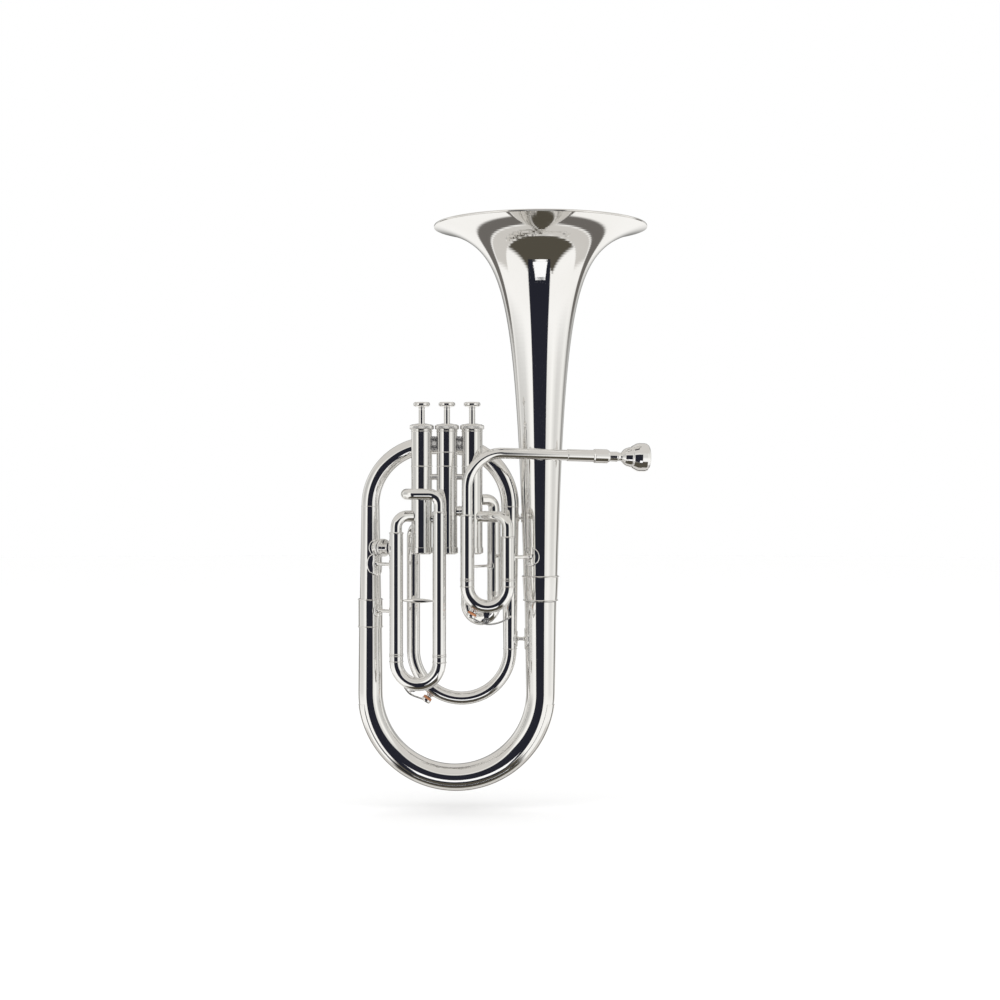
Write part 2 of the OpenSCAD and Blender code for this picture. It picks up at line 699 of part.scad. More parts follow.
// U-shaped crook between two upright legs that reach up to tops a_top and b_top
module crook(a, b, bow_z, seam_z, a_top, b_top) {
    heading = b - a;
    bend = norm(heading) / 2;
    joint = seam_z - seam;
    function u_line(top_a, top_b) =
        [[-bend, 0, top_a], [-bend, 0, bow_z - bend], [bend, 0, bow_z - bend], [bend, 0, top_b]];
    translate(up((a + b) / 2, 0)) rotate(atan2(heading.y, heading.x)) difference() {
        union() {
            route(u_line(joint, joint), [bend, bend], outer_r);
            for (leg = [[-bend, a_top], [bend, b_top]]) {
                rod([leg[0], 0, joint - 2], [leg[0], 0, leg[1]], inner_r, inner_r);
                bead([leg[0], 0], joint - 0.7, outer_r + 0.1, 0.6);
                bead([leg[0], 0], bow_z + 0.2, outer_r + 0.1, 0.6);
            }
        }
        route(u_line(a_top + 1, b_top + 1), [bend, bend], inner_bore_r);
    }
}

module tuning_crook() {
    color(silver) difference() {
        crook(tuning_left_at, tuning_right_at, tuning_bow_z, tuning_seam, 296, 274);
        key_drain(tuning_bow_c, KEY_1, 2);
    }
}

module first_crook() {
    color(silver) crook(first_left_at, first_right_at, first_bow_z, first_seam, 268, 298);
}

module third_crook() {
    color(silver) crook(third_left_at, third_right_at, third_bow_z, third_seam, 270, 290);
}

module second_crook() {
    bend = (loop_2_high - loop_2_low) / 2;
    joint = second_seam_y + seam;
    far = second_bow_y + bend;
    color(silver) difference() {
        union() {
            route([[second_x, joint, loop_2_high], [second_x, far, loop_2_high], [second_x, far, loop_2_low],
                [second_x, joint, loop_2_low]], [bend, bend], outer_r);
            for (z = [loop_2_high, loop_2_low]) rod([second_x, -4, z], [second_x, joint + 2, z], inner_r, inner_r);
        }
        route([[second_x, -5, loop_2_high], [second_x, far, loop_2_high], [second_x, far, loop_2_low],
            [second_x, -5, loop_2_low]], [bend, bend], inner_bore_r);
    }
}

// ---------------------------------------------------------------- braces

module bell_braces() {
    color(silver) {
        brace(bell_at, 19.45, tuning_right_at, outer_r, 255, 1.9, 10.5, 6);
        brace(inner_at, 7.55, bell_at, 16.75, 165.5, 1.9, 8.4, 11.5);
        brace(inner_at, 9.35, bell_at, 20.6, 296.5, 1.6, 4, 5);
    }
}

module branch_braces() {
    color(silver) {
        brace(branch_at, 11.62, third_left_at, outer_r, 247, 1.8, 12.4, 6);
        brace(branch_at, bow_in_r + 0.7, third_left_at, outer_r, 196.7, 1.8, 7, 6);
        brace(branch_at, 11.3, third_left_at, outer_r, 264.6, 4.2, 9.6, 10);
        stub = third_left_at - branch_at;
        translate(up(branch_at, 264.6)) rotate(atan2(stub.y, stub.x)) rotate([0, 90, 0])
            for (x = [17.2, 21]) difference() {
                translate([0, 0, x]) cylinder(h = 2.6, r = 9.6);
                translate([0, 0, x - 1]) cylinder(h = 5, r = 4.2);
            }
    }
}

module slide_braces() {
    half = (norm(third_right_at - third_left_at) - outer_d) / 2 + 1;
    mid = (third_left_at + third_right_at) / 2;
    heading = third_right_at - third_left_at;
    function spindle_r(t) = 2.4 * (1 - 0.72 * t * t);
    color(silver) {
        difference() {
            translate(up(mid, 208.7)) rotate(atan2(heading.y, heading.x)) rotate([0, 90, 0])
                rotate_extrude() polygon(concat([[0, -half]],
                    [for (i = [-6:6]) [spindle_r(i / 6), half * i / 6]], [[0, half]]));
            for (p = [third_left_at, third_right_at]) translate(up(p, 200)) cylinder(h = 18, r = outer_r);
        }
        brace(tuning_left_at, outer_r, first_right_at, outer_r, 245.3, 1.5, 4.5, 4.5);
    }
}

// ---------------------------------------------------------------- water keys

// A key is [surface radius, cork angle, pivot angle, tip angle, height of its arm], with the angles
// from straight down, + to the right
function key_at(key, a, h) = [(key[0] + h) * sin(a), 0, -(key[0] + h) * cos(a)];

// Hole in the bow under the cork
module key_drain(c, key, r) {
    rod(c + key_at(key, key[1], -4), c + key_at(key, key[1], 8), r, r);
}

module key_saddle(c, key, tube_r) {
    pivot = c + key_at(key, key[2], key_pivot_h);
    color(silver) difference() {
        union() {
            for (s = [-1, 1]) frame_at(pivot, [cos(key[2]), 0, sin(key[2])], [sin(key[2]), 0, -cos(key[2])],
                [0, -1, 0]) translate([0, 0, s * 3.4]) union() {
                    cylinder(h = 1.3, r = 2.6, center = true);
                    translate([0, -6, 0]) cube([5.2, 12, 1.3], center = true);
                }
            rod(c + key_at(key, key[1], -1.5), c + key_at(key, key[1], 2.6), 3, 3);
        }
        rod(pivot - [0, 9, 0], pivot + [0, 9, 0], 1.1, 1.1);
        key_drain(c, key, 2);
        translate(c) rotate([90, 0, 0]) rotate_extrude() translate([key[0] - tube_r, 0]) circle(tube_r + eps);
    }
}

module key_pivot(c, key) {
    pivot = c + key_at(key, key[2], key_pivot_h);
    color(steel) {
        rod(pivot - [0, 4.1, 0], pivot + [0, 5.2, 0], 1.05, 1.05);
        difference() {
            rod(pivot - [0, 5.1, 0], pivot - [0, 4.1, 0], 2, 2);
            translate(pivot - [0.3, 5.3, 2.2]) cube([0.6, 0.8, 4.4]);
        }
    }
}

// Height of the lever's line above the bow, from the cork cup (t = 0) to the tip (t = 1)
function arm_h(key, t) = let (s = min(1, t / 0.5), low = key_cork_h + 6)
    low + (key[4] - low) * s * s * (3 - 2 * s);

module key_lever(c, key) {
    steps = 24;
    thick = 1.9;
    line = [for (i = [0:steps]) let (t = i / steps,
        p = key_at(key, key[1] + (key[3] - key[1]) * t, arm_h(key, t))) [p.x, p.z]];
    upper = [for (i = [0:steps]) let (t = i / steps,
        p = key_at(key, key[1] + (key[3] - key[1]) * t, arm_h(key, t) - thick)) [p.x, p.z]];
    hub = key_at(key, key[2], key_pivot_h);
    web = key_at(key, key[2], arm_h(key, (key[2] - key[1]) / (key[3] - key[1])) - thick / 2);
    tip = key_at(key, key[3], key[4]);
    color(silver) difference() {
        translate(c) union() {
            translate([0, key_w / 2, 0]) rotate([90, 0, 0]) linear_extrude(key_w)
                polygon(concat(line, [for (i = [steps:-1:0]) upper[i]]));
            rod(key_at(key, key[1], key_cork_h + 4), key_at(key, key[1], key_cork_h + 6.2), 5.1, 4.6);
            rod(hub - [0, 2.6, 0], hub + [0, 2.6, 0], 2.3, 2.3);
            rod(hub, web, 1.9, 1.9);
            rod(tip, key_at(key, key[3], key[4] - thick), 4, 4);
        }
        translate(c) rod(hub - [0, 4, 0], hub + [0, 4, 0], 1.12, 1.12);
    }
}

module key_cork(c, key) {
    color(gold_cork) rod(c + key_at(key, key[1], key_cork_h), c + key_at(key, key[1], key_cork_h + 3.96), 4.8, 4.8);
}

// Torsion spring: coils round the pivot beside the hub
module key_spring(c, key) {
    hub = c + key_at(key, key[2], key_pivot_h);
    color(steel) for (s = [-1, 1]) translate(hub + [0, s * 4.7, 0]) rotate([90, 0, 0])
        rotate_extrude() translate([2.75, 0]) circle(0.35);
}

module key_1_saddle() key_saddle(tuning_bow_c, KEY_1, outer_r);
module key_1_pivot() key_pivot(tuning_bow_c, KEY_1);
module key_1_lever() key_lever(tuning_bow_c, KEY_1);
module key_1_cork() key_cork(tuning_bow_c, KEY_1);
module key_1_spring() key_spring(tuning_bow_c, KEY_1);
module key_2_saddle() key_saddle(inner_bow_c, KEY_2, inner_bow_r);
module key_2_pivot() key_pivot(inner_bow_c, KEY_2);
module key_2_lever() key_lever(inner_bow_c, KEY_2);
module key_2_cork() key_cork(inner_bow_c, KEY_2);
module key_2_spring() key_spring(inner_bow_c, KEY_2);

bell();
bell_rim();
bell_ferrule();
bottom_bow();
bow_guard();
branch_ferrule();
outer_branch();
top_bow();
inner_branch();
inner_bow();
valve_casing(0);  // valve_casing_1
valve_casing(1);  // valve_casing_2
valve_casing(2);  // valve_casing_3
top_caps();
cap_felts();
bottom_caps();
piston_guides();
casing_plates();
plate_screws();
valve_knuckles();
leadpipe();
mouthpiece_receiver();
leadpipe_brace();
tuning_outer_tubes();
tuning_port_tube();
first_outer_tubes();
first_port_tubes();
second_outer_tubes();
third_outer_tubes();
third_port_tubes();
bell_braces();
branch_braces();
slide_braces();
key_2_saddle();
key_2_pivot();
mouthpiece();
tuning_crook();
key_1_saddle();
key_1_pivot();
first_crook();
second_crook();
third_crook();
piston(0);  // piston_1
piston(1);  // piston_2
piston(2);  // piston_3
stem(0);  // stem_1
stem(1);  // stem_2
stem(2);  // stem_3
button(0);  // button_1
button(1);  // button_2
button(2);  // button_3
valve_spring(0);  // spring_1
valve_spring(1);  // spring_2
valve_spring(2);  // spring_3
key_1_lever();
key_1_cork();
key_1_spring();
key_2_lever();
key_2_cork();
key_2_spring();
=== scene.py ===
import math

import bmesh
import bpy
from mathutils import Matrix, Vector


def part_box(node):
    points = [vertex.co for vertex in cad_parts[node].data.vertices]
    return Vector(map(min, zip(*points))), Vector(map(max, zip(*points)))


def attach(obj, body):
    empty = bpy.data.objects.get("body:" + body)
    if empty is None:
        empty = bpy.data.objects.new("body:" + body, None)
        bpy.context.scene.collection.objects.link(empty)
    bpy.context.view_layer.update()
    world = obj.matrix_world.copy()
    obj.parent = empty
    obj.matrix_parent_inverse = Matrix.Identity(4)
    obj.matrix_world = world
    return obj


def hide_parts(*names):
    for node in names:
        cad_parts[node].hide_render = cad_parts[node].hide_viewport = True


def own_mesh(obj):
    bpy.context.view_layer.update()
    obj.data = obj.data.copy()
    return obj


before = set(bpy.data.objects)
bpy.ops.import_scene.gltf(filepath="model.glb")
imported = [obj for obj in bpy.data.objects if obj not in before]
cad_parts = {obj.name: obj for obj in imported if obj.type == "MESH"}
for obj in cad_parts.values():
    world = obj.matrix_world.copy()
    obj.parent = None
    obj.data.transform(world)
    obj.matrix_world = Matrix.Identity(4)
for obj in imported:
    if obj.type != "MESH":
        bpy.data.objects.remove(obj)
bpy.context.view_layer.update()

# ------------------------------------------------------------------ sizes, in metres
MM = 0.001
BELL_FLARE = 0.55
BELL_LEAD = 14 * MM
SHEET = 0.8 * MM            # wall of the bell and the bottom bow
WALL = 0.55 * MM            # wall of the small tubes
OUTER_R = 7.2 * MM          # outer slide tubes
RING_OUT = 0.75 * MM        # how far the rings on slide tubes stand out
INNER_R = 6.6 * MM          # inner slide tubes
BORE_R = 6.65 * MM          # bore of the outer slide tubes
PORT_R = 6.0 * MM           # port tubes between slides and valves
INNER_BOW_R = 7.2 * MM
LEADPIPE_R = 5.8 * MM
SEAM = 0.3 * MM             # gap between a crook and its outer tubes
CASING_R = 11.1 * MM
PORT_STOP = 10.5 * MM       # where tubes into a casing end, from its axis
TUNING_BOW_Z, FIRST_BOW_Z, THIRD_BOW_Z = 224.3 * MM, 202.8 * MM, 143.4 * MM
LEADPIPE_Z = 366.6 * MM
LEADPIPE_BEND = 37.2 * MM
RECEIVER_RUN = 156 * MM     # from the leadpipe's corner to the receiver's mouth
SHANK_LEN = 21 * MM
MOUTHPIECE_R = 15.5         # in millimetres, like the outline it belongs to
BUTTON_LOW = 415.3 * MM
BEND_STEP = 2.2 * MM        # spacing of rings along a bend
SUPPORT = 0.25 * MM         # distance of the rings that hold a crisp edge


def box_of(node):
    low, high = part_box(node)
    return low, high, (low + high) / 2


def upright_axis(node):
    """Where an upright round node's axis stands, as (x, y, 0)."""
    middle = box_of(node)[2]
    return Vector((middle.x, middle.y, 0))


def legs_of(node):
    """The axes of a pair of upright slide tubes: the left one stands further back."""
    low, high, _ = box_of(node)
    edge = OUTER_R + RING_OUT
    return Vector((low.x + edge, high.y - edge, 0)), Vector((high.x - edge, low.y + edge, 0))


def at_z(axis, z):
    return Vector((axis.x, axis.y, z))


BELL = upright_axis("bell")
BELL_LOW, BELL_HIGH, _ = box_of("bell")
BRANCH = upright_axis("outer_branch")
INNER = upright_axis("inner_branch")
CASINGS = [upright_axis(f"valve_casing_{i}") for i in (1, 2, 3)]
TUNING = legs_of("tuning_outer_tubes")
FIRST = legs_of("first_outer_tubes")
THIRD = legs_of("third_outer_tubes")
TUNING_SEAM, FIRST_SEAM, THIRD_SEAM = (
    box_of(f"{name}_outer_tubes")[0].z for name in ("tuning", "first", "third")
)
LOOP_R = BELL.x


def bell_radius(z):
    mouth = (BELL_HIGH.x - BELL_LOW.x) / 2
    return mouth * ((BELL_HIGH.z + BELL_LEAD - z) / BELL_LEAD) ** -BELL_FLARE


# ------------------------------------------------------------------ materials
def node_tree(material):
    material.use_nodes = True
    return material.node_tree, material.node_tree.nodes["Principled BSDF"]


def add(tree, kind, **sockets):
    node = tree.nodes.new(kind)
    for name, value in sockets.items():
        key = name.replace("_", " ")
        if key in node.inputs:
            node.inputs[key].default_value = value
        else:
            setattr(node, name, value)
    return node


def noise(tree, scale, detail=3.0, stretch=(1, 1, 1), rough=0.5):
    """Noise in the object's own space, so it stays on the metal when a piece moves."""
    where = add(tree, "ShaderNodeTexCoord")
    mapping = add(tree, "ShaderNodeMapping")
    mapping.inputs["Scale"].default_value = stretch
    texture = add(tree, "ShaderNodeTexNoise", Scale=scale, Detail=detail, Roughness=rough)
    tree.links.new(where.outputs["Object"], mapping.inputs["Vector"])
    tree.links.new(mapping.outputs["Vector"], texture.inputs["Vector"])
    return texture.outputs["Fac"]


def between(tree, fac, low, high, start=0.35, stop=0.65):
    node = add(tree, "ShaderNodeMapRange")
    node.inputs["From Min"].default_value = start
    node.inputs["From Max"].default_value = stop
    node.inputs["To Min"].default_value = low
    node.inputs["To Max"].default_value = high
    tree.links.new(fac, node.inputs["Value"])
    return node.outputs["Result"]


def tint(tree, fac, first, second):
    mix = tree.nodes.new("ShaderNodeMix")
    mix.data_type = "RGBA"
    tree.links.new(fac, mix.inputs["Factor"])
    mix.inputs["A"].default_value = (*first, 1)
    mix.inputs["B"].default_value = (*second, 1)
    return mix.outputs["Result"]


def bump(tree, height, strength, distance):
    node = add(tree, "ShaderNodeBump", Strength=strength, Distance=distance)
    tree.links.new(height, node.inputs["Height"])
    return node.outputs["Normal"]


def metal(name, light, dark, rough_low, rough_high, grain, grain_stretch, strength):
    """Bare or plated metal: slow drifts of tone, cloudy roughness and fine lines of polish."""
    material = bpy.data.materials.new(name)
    tree, shader = node_tree(material)
    shader.inputs["Metallic"].default_value = 1.0
    drift = between(tree, noise(tree, 9, 4), 0, 1)
    tree.links.new(tint(tree, drift, light, dark), shader.inputs["Base Color"])
    cloud = between(tree, noise(tree, 34, 5, rough=0.6), rough_low, rough_high, 0.3, 0.7)
    tree.links.new(cloud, shader.inputs["Roughness"])
    lines = noise(tree, grain, 2, grain_stretch)
    tree.links.new(bump(tree, lines, strength, 0.00002), shader.inputs["Normal"])
    return material


def felt_material():
    material = bpy.data.materials.new("wool_felt")
    tree, shader = node_tree(material)
    fibres = noise(tree, 1800, 6, rough=0.7)
    tree.links.new(tint(tree, fibres, (0.05, 0.12, 0.08), (0.12, 0.22, 0.15)), shader.inputs["Base Color"])
    tree.links.new(bump(tree, fibres, 0.7, 0.0003), shader.inputs["Normal"])
    shader.inputs["Roughness"].default_value = 0.95
    shader.inputs["Sheen Weight"].default_value = 0.5
    return material


def cork_material():
    material = bpy.data.materials.new("cork")
    tree, shader = node_tree(material)
    grains = noise(tree, 900, 4, rough=0.65)
    tree.links.new(
        tint(tree, between(tree, grains, 0, 1, 0.4, 0.6), (0.30, 0.10, 0.04), (0.68, 0.30, 0.14)),
        shader.inputs["Base Color"])
    tree.links.new(bump(tree, grains, 0.6, 0.0002), shader.inputs["Normal"])
    shader.inputs["Roughness"].default_value = 0.8
    return material


SILVER = metal("silver_plate", (0.965, 0.96, 0.95), (0.92, 0.91, 0.89), 0.03, 0.075, 1400, (1, 1, 0.05), 0.06)
DRAWN = metal("drawn_silver", (0.86, 0.85, 0.82), (0.76, 0.74, 0.70), 0.10, 0.2, 2200, (1, 1, 0.02), 0.25)
SATIN = metal("satin_silver", (0.96, 0.955, 0.945), (0.92, 0.91, 0.90), 0.28, 0.4, 1400, (1, 1, 1), 0.1)
NICKEL = metal("lapped_nickel", (0.72, 0.72, 0.70), (0.62, 0.61, 0.58), 0.18, 0.3, 1500, (1, 1, 8), 0.3)
STEEL = metal("turned_steel", (0.60, 0.60, 0.61), (0.45, 0.45, 0.46), 0.2, 0.36, 1500, (1, 1, 1), 0.3)
FELT = felt_material()
CORK = cork_material()


# ------------------------------------------------------------------ mesh making
class Route:
    """A line of straights and bends, measured in metres from its first point."""

    def __init__(self, points, bends=()):
        points = [Vector(p) for p in points]
        self.parts, self.length = [], 0.0
        here, heading = points[0], (points[1] - points[0]).normalized()
        side = heading.orthogonal().normalized()
        for i in range(1, len(points)):
            turn, cut, bend = 0.0, 0.0, 0.0
            if i < len(points) - 1:
                onward = (points[i + 1] - points[i]).normalized()
                bend = bends[i - 1]
                turn = heading.angle(onward)
                cut = bend * math.tan(turn / 2)
            straight = (points[i] - here).length - cut
            if straight > 1e-6:
                self.parts.append((self.length, here, heading, side, None, 0.0, None))
                self.length += straight
                here = here + heading * straight
            if turn:
                axis = heading.cross(onward).normalized()
                centre = here + axis.cross(heading) * bend
                self.parts.append((self.length, here, heading, side, axis, bend, centre))
                self.length += bend * turn
                rotation = Matrix.Rotation(turn, 3, axis)
                here = centre + rotation @ (here - centre)
                heading, side = onward, rotation @ side
        self.curved = any(part[4] for part in self.parts)

    def at(self, s):
        """Point, heading and side direction at s."""
        part = self.parts[0]
        for candidate in self.parts:
            if s >= candidate[0] - 1e-9:
                part = candidate
        start, here, heading, side, axis, bend, centre = part
        if axis is None:
            return here + heading * (s - start), heading, side
        rotation = Matrix.Rotation((s - start) / bend, 3, axis)
        return centre + rotation @ (here - centre), rotation @ heading, rotation @ side


def straight(a, b):
    return Route([a, b])


def rings_to_faces(count, sides, closed):
    faces = []
    for i in range(count if closed else count - 1):
        j = (i + 1) % count
        for k in range(sides):
            m = (k + 1) % sides
            faces.append((i * sides + k, j * sides + k, j * sides + m, i * sides + m))
    return faces


def dense_outline(outline, closed, curved):
    """The outline with rings along bends, and two rings that hold each long stretch straight."""
    result = []
    n = len(outline)
    for i in range(n if closed else n - 1):
        (s0, r0), (s1, r1) = outline[i], outline[(i + 1) % n]
        length = math.hypot(s1 - s0, r1 - r0)
        shares = [0.0]
        if length > 6 * SUPPORT:
            shares += [SUPPORT / length, 1 - SUPPORT / length]
        if curved:
            steps = math.ceil(abs(s1 - s0) / BEND_STEP)
            shares += [k / steps for k in range(1, steps)]
        result += [(s0 + (s1 - s0) * t, r0 + (r1 - r0) * t) for t in sorted(shares)]
    return result if closed else result + [outline[-1]]


def turned(route, outline, closed=True, sides=None, flutes=None):
    """Sweeps an outline of (distance, radius) round a route. flutes is (count, depth, from, to)."""
    outline = dense_outline(outline, closed, route.curved)
    widest = max(r for _, r in outline)
    sides = sides or int(min(224, max(40, widest / MM * 5)) // 4 * 4)
    verts = []
    for s, r in outline:
        point, heading, side = route.at(s)
        other = heading.cross(side)
        for k in range(sides):
            a = 2 * math.pi * k / sides
            swell = 0.0
            if flutes and flutes[2] <= s <= flutes[3] and r > 0.5 * widest:
                swell = flutes[1] * abs(math.sin(flutes[0] * a / 2))
            verts.append(point + (r - swell) * (math.cos(a) * side + math.sin(a) * other))
    return verts, rings_to_faces(len(outline), sides, closed)


def soften(outline, radius, closed=True, steps=3):
    """Rounds the corners of an outline."""
    result = []
    n = len(outline)
    for i, point in enumerate(outline):
        if not closed and i in (0, n - 1):
            result.append(tuple(point))
            continue
        p = Vector(point)
        to_last, to_next = Vector(outline[i - 1]) - p, Vector(outline[(i + 1) % n]) - p
        opening = to_last.angle(to_next)
        if opening > math.radians(168):
            result.append(tuple(p))
            continue
        cut = min(radius / math.tan(opening / 2), 0.42 * to_last.length, 0.42 * to_next.length)
        a, b = p + to_last.normalized() * cut, p + to_next.normalized() * cut
        for k in range(steps + 1):
            t = k / steps
            result.append(tuple((1 - t) ** 2 * a + 2 * t * (1 - t) * p + t * t * b))
    return result


def ring_arc(place, r, size, steps=8):
    """Half-round ring on a surface of radius r."""
    return [(place - size * math.cos(math.pi * k / steps), r + size * math.sin(math.pi * k / steps))
            for k in range(steps + 1)]


def skin(start, stop, r_start, r_stop, wall, rings=()):
    """Closed outline of a tube's wall, with rings (place, size) on its outside."""
    def radius(s):
        return r_start + (r_stop - r_start) * (s - start) / (stop - start)
    outside = [(start, r_start)]
    for place, size in rings:
        outside += ring_arc(place, radius(place), size)
    return outside + [(stop, r_stop), (stop, r_stop - wall), (start, r_start - wall)]


def upright_tube(axis, z0, z1, r0, r1, wall, rings=()):
    """Upright tube; rings are (height, size)."""
    outline = skin(0, z1 - z0, r0, r1, wall, [(z - z0, size) for z, size in rings])
    return turned(straight(at_z(axis, z0), at_z(axis, z1)), outline)


def bent_tube(points, bends, r, wall=WALL):
    route = Route(points, bends)
    return turned(route, skin(0, route.length, r, r, wall))


def grid(rows, closed_rows=False, closed_columns=False):
    """A sheet of points, row by row."""
    n, m = len(rows), len(rows[0])
    faces = []
    for i in range(n if closed_rows else n - 1):
        for j in range(m if closed_columns else m - 1):
            a, b = (i + 1) % n, (j + 1) % m
            faces.append((i * m + j, a * m + j, a * m + b, i * m + b))
    return [p for row in rows for p in row], faces


def piece(name, shapes, body, material, nodes=(), crease=34):
    """Joins shapes into one smooth mesh that rides on a body and stands for CAD nodes."""
    verts, faces = [], []
    for shape_verts, shape_faces in shapes if isinstance(shapes, list) else [shapes]:
        faces += [tuple(i + len(verts) for i in face) for face in shape_faces]
        verts += [tuple(v) for v in shape_verts]
    mesh = bpy.data.meshes.new(name)
    mesh.from_pydata(verts, [], faces)
    return finish_mesh(name, mesh, body, material, nodes, crease)


def finish_mesh(name, mesh, body, material, nodes, crease):
    work = bmesh.new()
    work.from_mesh(mesh)
    bmesh.ops.remove_doubles(work, verts=work.verts, dist=1e-7)
    bmesh.ops.dissolve_degenerate(work, dist=1e-8, edges=work.edges)
    bmesh.ops.recalc_face_normals(work, faces=work.faces)
    for face in work.faces:
        face.smooth = True
    work.to_mesh(mesh)
    work.free()
    mesh.set_sharp_from_angle(angle=math.radians(crease))
    mesh.materials.clear()
    mesh.materials.append(material)
    obj = bpy.data.objects.new(name, mesh)
    bpy.context.scene.collection.objects.link(obj)
    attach(obj, body)
    if nodes:
        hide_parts(*nodes)
    return obj


def bevelled(name, node, body, material, width):
    """A CAD node's own shape with its edges broken."""
    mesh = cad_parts[node].data.copy()
    mesh.name = name
    work = bmesh.new()
    work.from_mesh(mesh)
    bmesh.ops.remove_doubles(work, verts=work.verts, dist=1e-6)
    bmesh.ops.dissolve_limit(work, angle_limit=math.radians(1), verts=work.verts, edges=work.edges)
    edges = [e for e in work.edges if len(e.link_faces) == 2 and e.calc_face_angle(0) > math.radians(40)]
    bmesh.ops.bevel(work, geom=edges, offset=width, segments=2, affect="EDGES", clamp_overlap=True)
    work.to_mesh(mesh)
    work.free()
    return finish_mesh(name, mesh, body, material, [node], 40)


# ------------------------------------------------------------------ bell and large tubing
def make_bell():
    low, high = BELL_LOW.z, BELL_HIGH.z
    steps = 96
    heights = [high - (high - low) * (1 - k / steps) ** 2.4 for k in range(steps + 1)]
    outside = [(z - low, bell_radius(z)) for z in heights]
    inside = [(s, r - SHEET) for s, r in reversed(outside)]
    piece("bell_flare", turned(straight(at_z(BELL, low), at_z(BELL, high)), outside + inside),
          "horn", SILVER, ["bell"], crease=60)
    rim_low, rim_high, middle = box_of("bell_rim")
    wire = (rim_high.z - rim_low.z) / 2
    reach = (rim_high.x - rim_low.x) / 2 - wire
    loop = [(wire * math.cos(math.pi * k / 10), reach + wire * math.sin(math.pi * k / 10)) for k in range(20)]
    line = straight(middle, middle + Vector((0, 0, 1)))
    piece("bell_rim_wire", turned(line, loop, sides=224), "horn", SILVER, ["bell_rim"])
    low, high, _ = box_of("bell_ferrule")
    bottom, top = low.z + 0.9 * MM, high.z - 0.9 * MM
    r0, r1 = bell_radius(bottom) + 0.4 * MM, bell_radius(top) + 1.0 * MM
    rings = [(bottom + 0.4 * MM, 0.9 * MM), (top - 0.4 * MM, 0.9 * MM)]
    piece("bell_ferrule_band", upright_tube(BELL, bottom, top, r0, r1, 0.6 * MM, rings),
          "horn", SILVER, ["bell_ferrule"])


def make_bottom_bow():
    guard_t = 0.8 * MM
    in_r, out_r = 12.4 * MM, 17.3 * MM
    low, high, _ = box_of("bottom_bow")
    arc_mid_r = in_r + (out_r - in_r) * 0.43
    centre_z = low.z + LOOP_R + arc_mid_r
    route = Route([(-LOOP_R, 0, box_of("outer_branch")[0].z), (-LOOP_R, 0, centre_z - LOOP_R),
                   (LOOP_R, 0, centre_z - LOOP_R), (LOOP_R, 0, high.z)], [LOOP_R, LOOP_R])
    arc_start = route.parts[1][0]
    arc_stop = arc_start + math.pi * LOOP_R

    def radius(s):
        if s < arc_start:
            share = 0.18 * s / arc_start
        elif s < arc_stop:
            share = 0.18 + 0.5 * (s - arc_start) / (arc_stop - arc_start)
        else:
            share = 0.68 + 0.32 * (s - arc_stop) / (route.length - arc_stop)
        return in_r + (out_r - in_r) * share

    steps = 150
    outside = [(route.length * k / steps, radius(route.length * k / steps)) for k in range(steps + 1)]
    inside = [(s, r - SHEET) for s, r in reversed(outside)]
    piece("bottom_bow_tube", turned(route, outside + inside, sides=80), "horn", SILVER, ["bottom_bow"])

    # the guard: a second skin round the outside of the bend, thinner at its edges
    half, across, along = math.radians(60), 22, 96
    rows = []
    for k in range(along + 1):
        t = (k + 0.9) / (along + 1.8)
        s = arc_start + (arc_stop - arc_start) * (1.06 / 34 + t * (1 - 2.1 / 34))
        point = route.at(s)[0]
        outward = (point - Vector((0, 0, centre_z))).normalized()
        row_out, row_in = [], []
        for j in range(across + 1):
            share = 2 * j / across - 1
            a = half * share
            direction = math.cos(a) * outward + math.sin(a) * Vector((0, 1, 0))
            edge = min(1, 12 * (1 - abs(share)), 30 * min(t, 1 - t))
            thick = guard_t * (0.35 + 0.65 * math.sin(edge * math.pi / 2))
            row_out.append(point + direction * (radius(s) + thick))
            row_in.append(point + direction * (radius(s) + 0.05 * MM))
        rows.append(row_out + row_in[::-1])
    verts, faces = grid(rows, closed_columns=True)
    width = len(rows[0])
    for end in (0, len(rows) - 1):
        base = end * width
        for j in range(width // 2 - 1):
            faces.append((base + j, base + j + 1, base + width - 2 - j, base + width - 1 - j))
    piece("bow_guard_skin", (verts, faces), "horn", SILVER, ["bow_guard"], crease=50)


def make_large_tubes():
    low, high, _ = box_of("branch_ferrule")
    r = (high.x - low.x) / 2 - 0.75 * MM
    rings = [(low.z + 1.2 * MM, 0.65 * MM), (high.z - 1.2 * MM, 0.65 * MM)]
    piece("branch_ferrule_band", upright_tube(BRANCH, low.z, high.z, r, r, 0.6 * MM, rings),
          "horn", SILVER, ["branch_ferrule"])
    bow_low, bow_high, _ = box_of("top_bow")
    bow_r = (bow_high.y - bow_low.y) / 2
    low, high, _ = box_of("outer_branch")
    piece("outer_branch_tube", upright_tube(BRANCH, low.z, high.z, 12.1 * MM, bow_r + 0.1 * MM, 0.7 * MM,
                                            [(high.z - 0.9 * MM, 0.35 * MM)]),
          "horn", SILVER, ["outer_branch"])
    bend = 65 * MM
    crown = bow_high.z - bow_r
    piece("top_bow_tube", bent_tube([at_z(BRANCH, bow_low.z), at_z(BRANCH, crown), at_z(INNER, crown),
                                     at_z(INNER, bow_low.z)], [bend, bend], bow_r, 0.7 * MM),
          "horn", SILVER, ["top_bow"])
    low, high, _ = box_of("inner_branch")
    rings = [(low.z + 1.2 * MM, 0.6 * MM), (high.z - 1.2 * MM, 0.6 * MM)]
    piece("inner_branch_tube", upright_tube(INNER, low.z, high.z, INNER_BOW_R + 0.1 * MM, bow_r - 0.1 * MM,
                                            0.6 * MM, rings), "horn", SILVER, ["inner_branch"])


